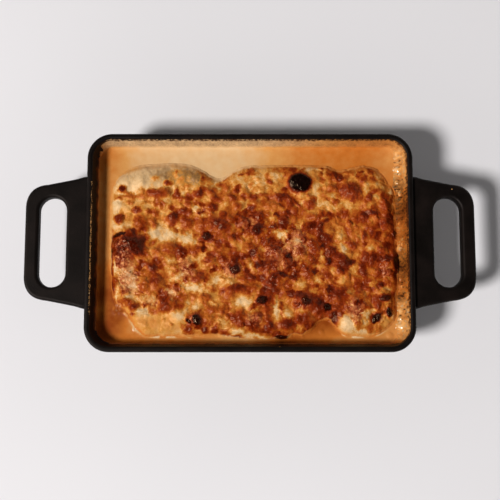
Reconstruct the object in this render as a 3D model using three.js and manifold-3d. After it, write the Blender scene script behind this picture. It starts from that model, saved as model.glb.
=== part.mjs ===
// Lasagna baked in a cast iron dish: a drafted rectangular dish with two loop handles,
// a slab of lasagna with a browned cheese crust, and the cream sauce that lies round the slab.
// Millimetres, +Z up, +X along the dish; the origin is the middle of the dish's flat base.

import * as THREE from "three";
import Module from "manifold-3d";
import { mergeVertices } from "three/addons/utils/BufferGeometryUtils.js";

// Dish
const RIM_HALF_LENGTH = 112;
const RIM_HALF_WIDTH = 75;
const DISH_HEIGHT = 42;
const FLOOR = 5;
const WALL = 4;
const DRAFT = 0.23; // how far a wall leans in for each millimetre of depth
const CORNER_RADIUS = 17;
const LEAST_CORNER_RADIUS = 7;
const CORNER_STEPS = 7;
const RIM_ROUND = 1.5;
const BASE_ROUND = 4;
const FLOOR_FILLET = 6;
const ROUND_STEPS = 3;
const CAVITY_OVERSHOOT = 5;

// Loop handles
const HANDLE_REACH = 154.3; // from the dish's middle to the handle's outer edge
const HANDLE_ROOT = 108;
const HANDLE_TOP = 39;
const HANDLE_THICKNESS = 9;
const HANDLE_OUTER_HALF = 40;
const HANDLE_ROOT_HALF = 44;
const HANDLE_CORNER = 13;
const HANDLE_EDGE_ROUND = 2;
const HANDLE_FLARE = 3; // how far each side of the handle spreads where it meets the wall
const HANDLE_NECK = 115; // where that flare starts
const SLOT_NEAR = 126;
const SLOT_FAR = 145;
const SLOT_HALF_LENGTH = 31;
const PLATE_CURVE_STEPS = 7;

// Contents
const CLEARANCE = 0.35; // gap kept between pieces that touch
const SAUCE_LEVEL = 29;
const MENISCUS = 0.8; // how far the sauce climbs the dish's wall
const MENISCUS_WIDTH = 1.2;

const SLAB_LEFT = -97.5;
const SLAB_RIGHT = 102.3;
const SLAB_FAR = 55.5;
const SLAB_NEAR = -64.5;
const SLAB_EDGE_LEVEL = 29.6;
const SLAB_TOP = 33.4;
const SLAB_SHOULDER = 11;
const SLAB_ROLL = { height: 0.8, x: 17, y: 14, shift: 1 }; // slow waves of the plateau
const SLAB_FOOT = 0.82; // the slab's foot against its top, as the dish is narrower below
const SLAB_MIDDLE = new THREE.Vector2(3, 0);
const SLAB_GAP = 0.55; // from the slab's side to the sauce, along the level
const SLAB_CELLS_X = 82;
const SLAB_CELLS_Y = 48;
const END_CROWDING = 0.3; // how far the grid's columns crowd towards the round ends
const SLAB_CORNERS = { farLeft: 24, farRight: 25, nearLeft: 28, nearRight: 23 };

// Where the slab's long edges swing in or out: x, how far out, and half the width of the swing
const FAR_SWINGS = [
  { x: -22, out: -9.5, width: 12 },
  { x: 64, out: -3.5, width: 9 },
  { x: -55, out: 1.5, width: 14 },
];
const NEAR_SWINGS = [
  { x: 10, out: 1.2, width: 12 },
  { x: 51, out: -11.5, width: 9 },
];

// The large blisters of the crust: middle, radius, height
const BLISTERS = [
  { x: -85, y: -3, radius: 12, height: 2.6 }, // browned dome at the left end
  { x: 34.5, y: 43.5, radius: 8.5, height: 2.4 }, // charred blister near the far edge
  { x: -62, y: 36, radius: 8, height: 1.5 },
  { x: -35, y: 35, radius: 7, height: 1.4 },
  { x: -22, y: 15, radius: 9, height: 1.5 },
  { x: -56, y: -3, radius: 10, height: 1.5 },
  { x: 70, y: 36, radius: 9, height: 1.4 },
  { x: 23, y: 31, radius: 10, height: 1.3 },
  { x: 49, y: 15, radius: 10, height: 1.4 },
  { x: 63, y: -14, radius: 9, height: 1.6 },
  { x: 18, y: -24, radius: 10, height: 1.4 },
  { x: 37, y: -40, radius: 10, height: 1.7 },
  { x: -12, y: -31, radius: 9, height: 1.4 },
  { x: 92, y: -38, radius: 9, height: 1.5 },
  { x: 98, y: -15, radius: 8, height: 1.6 },
  { x: -80, y: -44, radius: 8, height: 1.3 },
  { x: 24, y: -56, radius: 9, height: 1.6 },
  { x: 76, y: -56, radius: 9, height: 1.8 }, // pale cheese that has run over the near edge
];

// Small bubbles scattered over the whole crust
const BUBBLE_SPACING = 11;
const BUBBLE_RADIUS = [3.6, 6.4];
const BUBBLE_HEIGHT = [0.3, 1.4];
const BUBBLE_SEED = 2027;

const smooth = (t) => {
  const s = Math.min(Math.max(t, 0), 1);
  return s * s * (3 - 2 * s);
};

/** A seeded random number generator: each call gives the next number from 0 to 1. */
function seededRandom(seed) {
  let state = seed >>> 0;
  return () => {
    state = (Math.imul(state, 1664525) + 1013904223) >>> 0;
    return state / 4294967296;
  };
}

/** A mesh geometry from points and triples of their indices. */
function geometryOf(points, triangles) {
  const geometry = new THREE.BufferGeometry();
  geometry.setAttribute("position", new THREE.Float32BufferAttribute(points.flat(), 3));
  geometry.setIndex(triangles.flat());
  return geometry;
}

/** The dish's outline, drawn in from the rim's outer edge by inset, at height z, anticlockwise. */
function dishRing(inset, z) {
  const radius = Math.max(CORNER_RADIUS - inset, LEAST_CORNER_RADIUS);
  const x = RIM_HALF_LENGTH - inset - radius;
  const y = RIM_HALF_WIDTH - inset - radius;
  const ring = [];
  [[x, y], [-x, y], [-x, -y], [x, -y]].forEach(([cx, cy], corner) => {
    for (let i = 0; i <= CORNER_STEPS; i++) {
      const angle = (corner + i / CORNER_STEPS) * (Math.PI / 2);
      ring.push([cx + radius * Math.cos(angle), cy + radius * Math.sin(angle), z]);
    }
  });
  return ring;
}

/** The triangles between rings of equal count, lowest first, facing out of the stack. */
function sides(rings, first) {
  const count = rings[0].length;
  const triangles = [];
  for (let r = 0; r + 1 < rings.length; r++) {
    for (let i = 0; i < count; i++) {
      const a = first + r * count + i;
      const b = first + r * count + ((i + 1) % count);
      triangles.push([a, b, b + count], [a, b + count, a + count]);
    }
  }
  return triangles;
}

/** A closed solid through rings of equal count, lowest first; inner rings leave a hole through it. */
function loft(rings, innerRings = []) {
  const points = [...rings.flat(), ...innerRings.flat()];
  const innerStart = rings.flat().length;
  const triangles = sides(rings, 0);
  if (innerRings.length) {
    sides(innerRings, innerStart).forEach(([a, b, c]) => triangles.push([a, c, b]));
  }
  const flat = (ring) => ring.map(([x, y]) => new THREE.Vector2(x, y));
  const addEnd = (place, faceUp) => {
    const outer = flat(rings.at(place));
    const holes = innerRings.length ? [flat(innerRings.at(place))] : [];
    const outerStart = place ? (rings.length - 1) * outer.length : 0;
    const holeStart = place && holes.length ? (innerRings.length - 1) * holes[0].length : 0;
    const index = (i) => (i < outer.length ? outerStart + i : innerStart + holeStart + i - outer.length);
    THREE.ShapeUtils.triangulateShape(outer, holes).forEach((corners) => {
      const [a, b, c] = corners.map(index);
      triangles.push(faceUp ? [a, b, c] : [a, c, b]);
    });
  };
  addEnd(0, false);
  addEnd(-1, true);
  return geometryOf(points, triangles);
}

/** How far the outside of the wall stands in from the rim's outer edge at height z. */
const wallInset = (z) => Math.max(DISH_HEIGHT - RIM_ROUND - z, 0) * DRAFT;

/** The dish without its hollow: drafted walls, a rounded foot and the outside of the rim. */
function dishBlock() {
  const rings = [];
  for (let i = 0; i <= ROUND_STEPS; i++) {
    const angle = (i / ROUND_STEPS) * (Math.PI / 2);
    const z = BASE_ROUND * (1 - Math.cos(angle));
    rings.push(dishRing(wallInset(z) + BASE_ROUND * (1 - Math.sin(angle)), z));
  }
  for (let i = 0; i <= ROUND_STEPS; i++) {
    const angle = (i / ROUND_STEPS) * (Math.PI / 2);
    const z = DISH_HEIGHT - RIM_ROUND * (1 - Math.sin(angle));
    rings.push(dishRing(wallInset(z) + RIM_ROUND * (1 - Math.cos(angle)), z));
  }
  return loft(rings);
}

/** The dish's hollow, which reaches past the rim so that it can be cut out. */
function dishHollow() {
  const rings = [];
  for (let i = 0; i <= ROUND_STEPS; i++) {
    const angle = (i / ROUND_STEPS) * (Math.PI / 2);
    const z = FLOOR + FLOOR_FILLET * (1 - Math.cos(angle));
    rings.push(dishRing(wallInset(z) + WALL + FLOOR_FILLET * (1 - Math.sin(angle)), z));
  }
  for (let i = 0; i <= ROUND_STEPS; i++) {
    const angle = (i / ROUND_STEPS) * (Math.PI / 2);
    const z = DISH_HEIGHT - RIM_ROUND * (1 - Math.sin(angle));
    rings.push(dishRing(wallInset(z) + WALL - RIM_ROUND * (1 - Math.cos(angle)), z));
  }
  rings.push(dishRing(WALL - RIM_ROUND, DISH_HEIGHT + CAVITY_OVERSHOOT));
  return loft(rings);
}

/** One loop handle on the +X end: a flat plate with round edges and a long slot for the fingers. */
function handlePlate() {
  const round = HANDLE_EDGE_ROUND;
  const reach = HANDLE_REACH - round;
  const outerHalf = HANDLE_OUTER_HALF - round;
  const rootHalf = HANDLE_ROOT_HALF - round;
  const corner = HANDLE_CORNER;
  const flare = HANDLE_FLARE;
  const shape = new THREE.Shape();
  shape.moveTo(HANDLE_ROOT, -rootHalf - flare);
  shape.quadraticCurveTo(HANDLE_NECK, -rootHalf - 1, HANDLE_NECK + flare, -rootHalf);
  shape.lineTo(reach - corner, -outerHalf);
  shape.quadraticCurveTo(reach - 1, -outerHalf + 1, reach, -outerHalf + corner);
  shape.lineTo(reach, outerHalf - corner);
  shape.quadraticCurveTo(reach - 1, outerHalf - 1, reach - corner, outerHalf);
  shape.lineTo(HANDLE_NECK + flare, rootHalf);
  shape.quadraticCurveTo(HANDLE_NECK, rootHalf + 1, HANDLE_ROOT, rootHalf + flare);
  shape.closePath();

  const slotRadius = (SLOT_FAR - SLOT_NEAR) / 2;
  const slotMiddle = (SLOT_FAR + SLOT_NEAR) / 2;
  const slotEnd = SLOT_HALF_LENGTH - slotRadius;
  const slot = new THREE.Path();
  slot.absarc(slotMiddle, slotEnd, slotRadius + round, 0, Math.PI, false);
  slot.absarc(slotMiddle, -slotEnd, slotRadius + round, Math.PI, 2 * Math.PI, false);
  slot.closePath();
  shape.holes.push(slot);

  const plate = new THREE.ExtrudeGeometry(shape, {
    depth: HANDLE_THICKNESS - 2 * round,
    curveSegments: PLATE_CURVE_STEPS,
    bevelThickness: round,
    bevelSize: round,
    bevelSegments: 2,
  });
  plate.translate(0, 0, HANDLE_TOP - HANDLE_THICKNESS + round);
  return plate;
}

/** A closed geometry as a solid that can be cut and joined. */
function solidOf(wasm, geometry) {
  const bare = geometry.clone();
  bare.deleteAttribute("normal");
  bare.deleteAttribute("uv");
  const merged = mergeVertices(bare, 1e-4);
  return new wasm.Manifold(new wasm.Mesh({
    numProp: 3,
    vertProperties: new Float32Array(merged.attributes.position.array),
    triVerts: new Uint32Array(merged.index.array),
  }));
}

/** A solid's surface as a three.js geometry. */
function geometryFromSolid(solid) {
  const mesh = solid.getMesh();
  const geometry = new THREE.BufferGeometry();
  geometry.setAttribute("position", new THREE.BufferAttribute(mesh.vertProperties, 3));
  geometry.setIndex(new THREE.BufferAttribute(mesh.triVerts, 1));
  return geometry;
}

/** The whole casting: block and both handles joined, and the hollow cut out. */
function dishGeometry(wasm) {
  const plate = handlePlate();
  const opposite = plate.clone().rotateZ(Math.PI);
  const casting = solidOf(wasm, dishBlock())
    .add(solidOf(wasm, plate))
    .add(solidOf(wasm, opposite))
    .subtract(solidOf(wasm, dishHollow()));
  return geometryFromSolid(casting);
}

/** How much a long edge swings out at x. */
function swing(swings, x) {
  return swings.reduce((sum, s) => sum + s.out * Math.exp(-(((x - s.x) / s.width) ** 2)), 0);
}

/** How far a round corner of that radius takes an edge in, at a distance from the slab's end. */
function cornerDrop(distance, radius) {
  const left = Math.max(radius - distance, 0);
  return radius - Math.sqrt(radius * radius - left * left);
}

/** The far (+Y) and near (-Y) edges of the slab's top at x. */
function slabEdges(x) {
  const fromLeft = x - SLAB_LEFT;
  const fromRight = SLAB_RIGHT - x;
  const { farLeft, farRight, nearLeft, nearRight } = SLAB_CORNERS;
  const far = SLAB_FAR + swing(FAR_SWINGS, x)
    - cornerDrop(fromLeft, farLeft) - cornerDrop(fromRight, farRight);
  const near = SLAB_NEAR - swing(NEAR_SWINGS, x)
    + cornerDrop(fromLeft, nearLeft) + cornerDrop(fromRight, nearRight);
  return { far, near };
}

/** The x of a column of the slab's grid: columns stand closer at the round ends. */
function slabColumn(i) {
  const even = (2 * i) / SLAB_CELLS_X - 1;
  const u = THREE.MathUtils.lerp(even, Math.sin((even * Math.PI) / 2), END_CROWDING);
  return THREE.MathUtils.lerp(SLAB_LEFT, SLAB_RIGHT, (u + 1) / 2);
}

/** The slab's outline at its top, anticlockwise: its near edge, then its far edge back. */
function slabOutline() {
  const near = [];
  const far = [];
  for (let i = 0; i <= SLAB_CELLS_X; i++) {
    const x = slabColumn(i);
    const edges = slabEdges(x);
    near.push(new THREE.Vector2(x, edges.near));
    far.unshift(new THREE.Vector2(x, edges.far));
  }
  return [...near, ...far];
}

/** An anticlockwise outline set off outward by a distance. */
function widened(outline, distance) {
  const outward = (a, b) => new THREE.Vector2(b.y - a.y, a.x - b.x).normalize();
  return outline.map((point, i) => {
    const before = outward(outline.at(i - 1), point);
    const after = outward(point, outline[(i + 1) % outline.length]);
    const middle = before.clone().add(after).normalize();
    return point.clone().addScaledVector(middle, distance / middle.dot(after));
  });
}

/** Bubbles on a jittered grid over the slab, each with its own radius and height. */
function scatteredBubbles() {
  const random = seededRandom(BUBBLE_SEED);
  const between = ([low, high]) => low + (high - low) * random();
  const bubbles = [];
  for (let y = SLAB_NEAR; y < SLAB_FAR; y += BUBBLE_SPACING) {
    for (let x = SLAB_LEFT; x < SLAB_RIGHT; x += BUBBLE_SPACING) {
      bubbles.push({
        x: x + BUBBLE_SPACING * random(),
        y: y + BUBBLE_SPACING * random(),
        radius: between(BUBBLE_RADIUS),
        height: between(BUBBLE_HEIGHT),
      });
    }
  }
  return bubbles;
}

/** The height of the crust above its plateau at a point, from every blister and bubble. */
function crustRelief(mounds, x, y) {
  let height = 0;
  for (const mound of mounds) {
    const squared = ((x - mound.x) ** 2 + (y - mound.y) ** 2) / mound.radius ** 2;
    if (squared < 1) height += mound.height * (1 - squared) ** 2;
  }
  return height;
}

/** The slab: a relief top over a grid, a flat foot, and sides that lean in with the dish. */
function lasagnaGeometry() {
  const mounds = [...BLISTERS, ...scatteredBubbles()];
  const nx = SLAB_CELLS_X;
  const ny = SLAB_CELLS_Y;
  const points = [];
  const triangles = [];
  const foot = FLOOR + CLEARANCE;

  const top = [];
  for (let i = 0; i <= nx; i++) {
    const x = slabColumn(i);
    const { far, near } = slabEdges(x);
    top.push([]);
    for (let j = 0; j <= ny; j++) {
      const y = THREE.MathUtils.lerp(near, far, j / ny);
      const fromEdge = Math.min(x - SLAB_LEFT, SLAB_RIGHT - x, y - near, far - y);
      const inward = smooth(fromEdge / SLAB_SHOULDER);
      const roll = SLAB_ROLL.height
        * Math.sin(x / SLAB_ROLL.x + SLAB_ROLL.shift) * Math.cos(y / SLAB_ROLL.y);
      const z = THREE.MathUtils.lerp(
        SLAB_EDGE_LEVEL, SLAB_TOP + roll + crustRelief(mounds, x, y), inward);
      top[i].push(points.push([x, y, z]) - 1);
    }
  }
  const footPoint = (index) => {
    const [x, y] = points[index];
    const { x: mx, y: my } = SLAB_MIDDLE;
    return points.push([mx + (x - mx) * SLAB_FOOT, my + (y - my) * SLAB_FOOT, foot]) - 1;
  };
  const nearFoot = top.map((column) => footPoint(column[0]));
  const farFoot = top.map((column) => footPoint(column[ny]));

  for (let i = 0; i < nx; i++) {
    for (let j = 0; j < ny; j++) {
      const [a, b, c, d] = [top[i][j], top[i + 1][j], top[i + 1][j + 1], top[i][j + 1]];
      triangles.push(...((i + j) % 2 ? [[a, b, c], [a, c, d]] : [[a, b, d], [b, c, d]]));
    }
    const [n0, n1, f0, f1] = [nearFoot[i], nearFoot[i + 1], farFoot[i], farFoot[i + 1]];
    triangles.push([n0, n1, top[i + 1][0]], [n0, top[i + 1][0], top[i][0]]);
    triangles.push([f1, f0, top[i][ny]], [f1, top[i][ny], top[i + 1][ny]]);
    triangles.push([n0, f1, n1], [n0, f0, f1]);
  }
  for (let j = 0; j < ny; j++) {
    triangles.push([top[0][j], top[0][j + 1], farFoot[0]]);
    triangles.push([top[nx][j + 1], top[nx][j], nearFoot[nx]]);
  }
  triangles.push([top[0][0], farFoot[0], nearFoot[0]]);
  triangles.push([top[nx][ny], nearFoot[nx], farFoot[nx]]);
  return geometryOf(points, triangles);
}

/** The sauce: the dish filled to its level, with a hole for the slab and a gap round it. */
function sauceGeometry() {
  const wall = WALL + CLEARANCE;
  const foot = FLOOR + CLEARANCE;
  const heel = FLOOR + FLOOR_FILLET;
  const level = wallInset(SAUCE_LEVEL) + wall;
  const rings = [
    dishRing(wallInset(foot) + wall + FLOOR_FILLET, foot),
    dishRing(wallInset(heel) + wall, heel),
    dishRing(level, SAUCE_LEVEL + MENISCUS),
    dishRing(level + MENISCUS_WIDTH, SAUCE_LEVEL),
  ];
  const hole = [[foot, SLAB_FOOT], [SAUCE_LEVEL, 1]].map(([z, scale]) => {
    const section = slabOutline().map((point) => point.sub(SLAB_MIDDLE)
      .multiplyScalar(scale).add(SLAB_MIDDLE));
    return widened(section, SLAB_GAP).map(({ x, y }) => [x, y, z]);
  });
  return loft(rings, hole);
}

/** A named mesh of one material. */
function piece(name, geometry, color, roughness, metalness) {
  const flat = geometry.index ? geometry.toNonIndexed() : geometry;
  flat.computeVertexNormals();
  const mesh = new THREE.Mesh(
    flat, new THREE.MeshStandardMaterial({ color, roughness, metalness }));
  mesh.name = name;
  return mesh;
}

const wasm = await Module();
wasm.setup();

const model = new THREE.Group();
model.name = "lasagna_in_dish";
model.add(piece("dish", dishGeometry(wasm), 0x242220, 0.6, 0.3));
model.add(piece("sauce", sauceGeometry(), 0xd08a4c, 0.3, 0));
model.add(piece("lasagna", lasagnaGeometry(), 0xc9823c, 0.5, 0));

export default model;
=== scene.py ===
"""Lasagna baked in a cast iron dish, dressed for a studio picture.

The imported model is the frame: the dish, the pool of sauce and the slab of lasagna. A finer piece
of the same form stands for each of them, and the dried sauce on the walls and the crumbs on the
rim, which have no solid of their own, are added. Every length in this file is in millimetres,
unless its name says otherwise, and meshes are written in metres.
"""

import logging
import math
from dataclasses import dataclass
from enum import Enum

import bpy
import numpy as np
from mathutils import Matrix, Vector
from mathutils.bvhtree import BVHTree


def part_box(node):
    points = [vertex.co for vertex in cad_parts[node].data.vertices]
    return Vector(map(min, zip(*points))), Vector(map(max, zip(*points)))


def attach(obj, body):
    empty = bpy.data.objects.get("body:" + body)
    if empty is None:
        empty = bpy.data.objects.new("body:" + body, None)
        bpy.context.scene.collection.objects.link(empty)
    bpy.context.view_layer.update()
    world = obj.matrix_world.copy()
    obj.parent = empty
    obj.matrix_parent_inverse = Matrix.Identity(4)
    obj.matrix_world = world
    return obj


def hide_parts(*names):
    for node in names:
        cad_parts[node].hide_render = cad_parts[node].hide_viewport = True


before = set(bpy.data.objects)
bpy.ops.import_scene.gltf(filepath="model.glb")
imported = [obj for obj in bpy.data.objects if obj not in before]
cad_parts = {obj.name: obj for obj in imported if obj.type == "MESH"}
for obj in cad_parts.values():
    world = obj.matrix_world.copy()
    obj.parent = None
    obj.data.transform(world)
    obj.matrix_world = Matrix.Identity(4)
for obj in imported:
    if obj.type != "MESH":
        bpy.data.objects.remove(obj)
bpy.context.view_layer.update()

MM = 0.001

# How many random places a noise or a field of cells has before it repeats
NOISE_COUNT = 512

# Settings that several shader nodes share
MIX_COLOURS = {"data_type": "RGBA"}
SUM = {"operation": "ADD"}
EASED = {"interpolation_type": "SMOOTHSTEP"}

log = logging.getLogger("lasagna")


class Mask(Enum):
    """The fields that a food mesh carries at its points, under the names that materials read."""

    BROWNING = "browning"
    GREY = "grey"
    OIL = "oil"
    WET = "wet"
    CRACKLE = "crackle"


class Wall(Enum):
    """The dish's four walls, each by the way that its outside faces."""

    FAR = (0.0, 1.0)
    RIGHT = (1.0, 0.0)
    NEAR = (0.0, -1.0)
    LEFT = (-1.0, 0.0)


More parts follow.
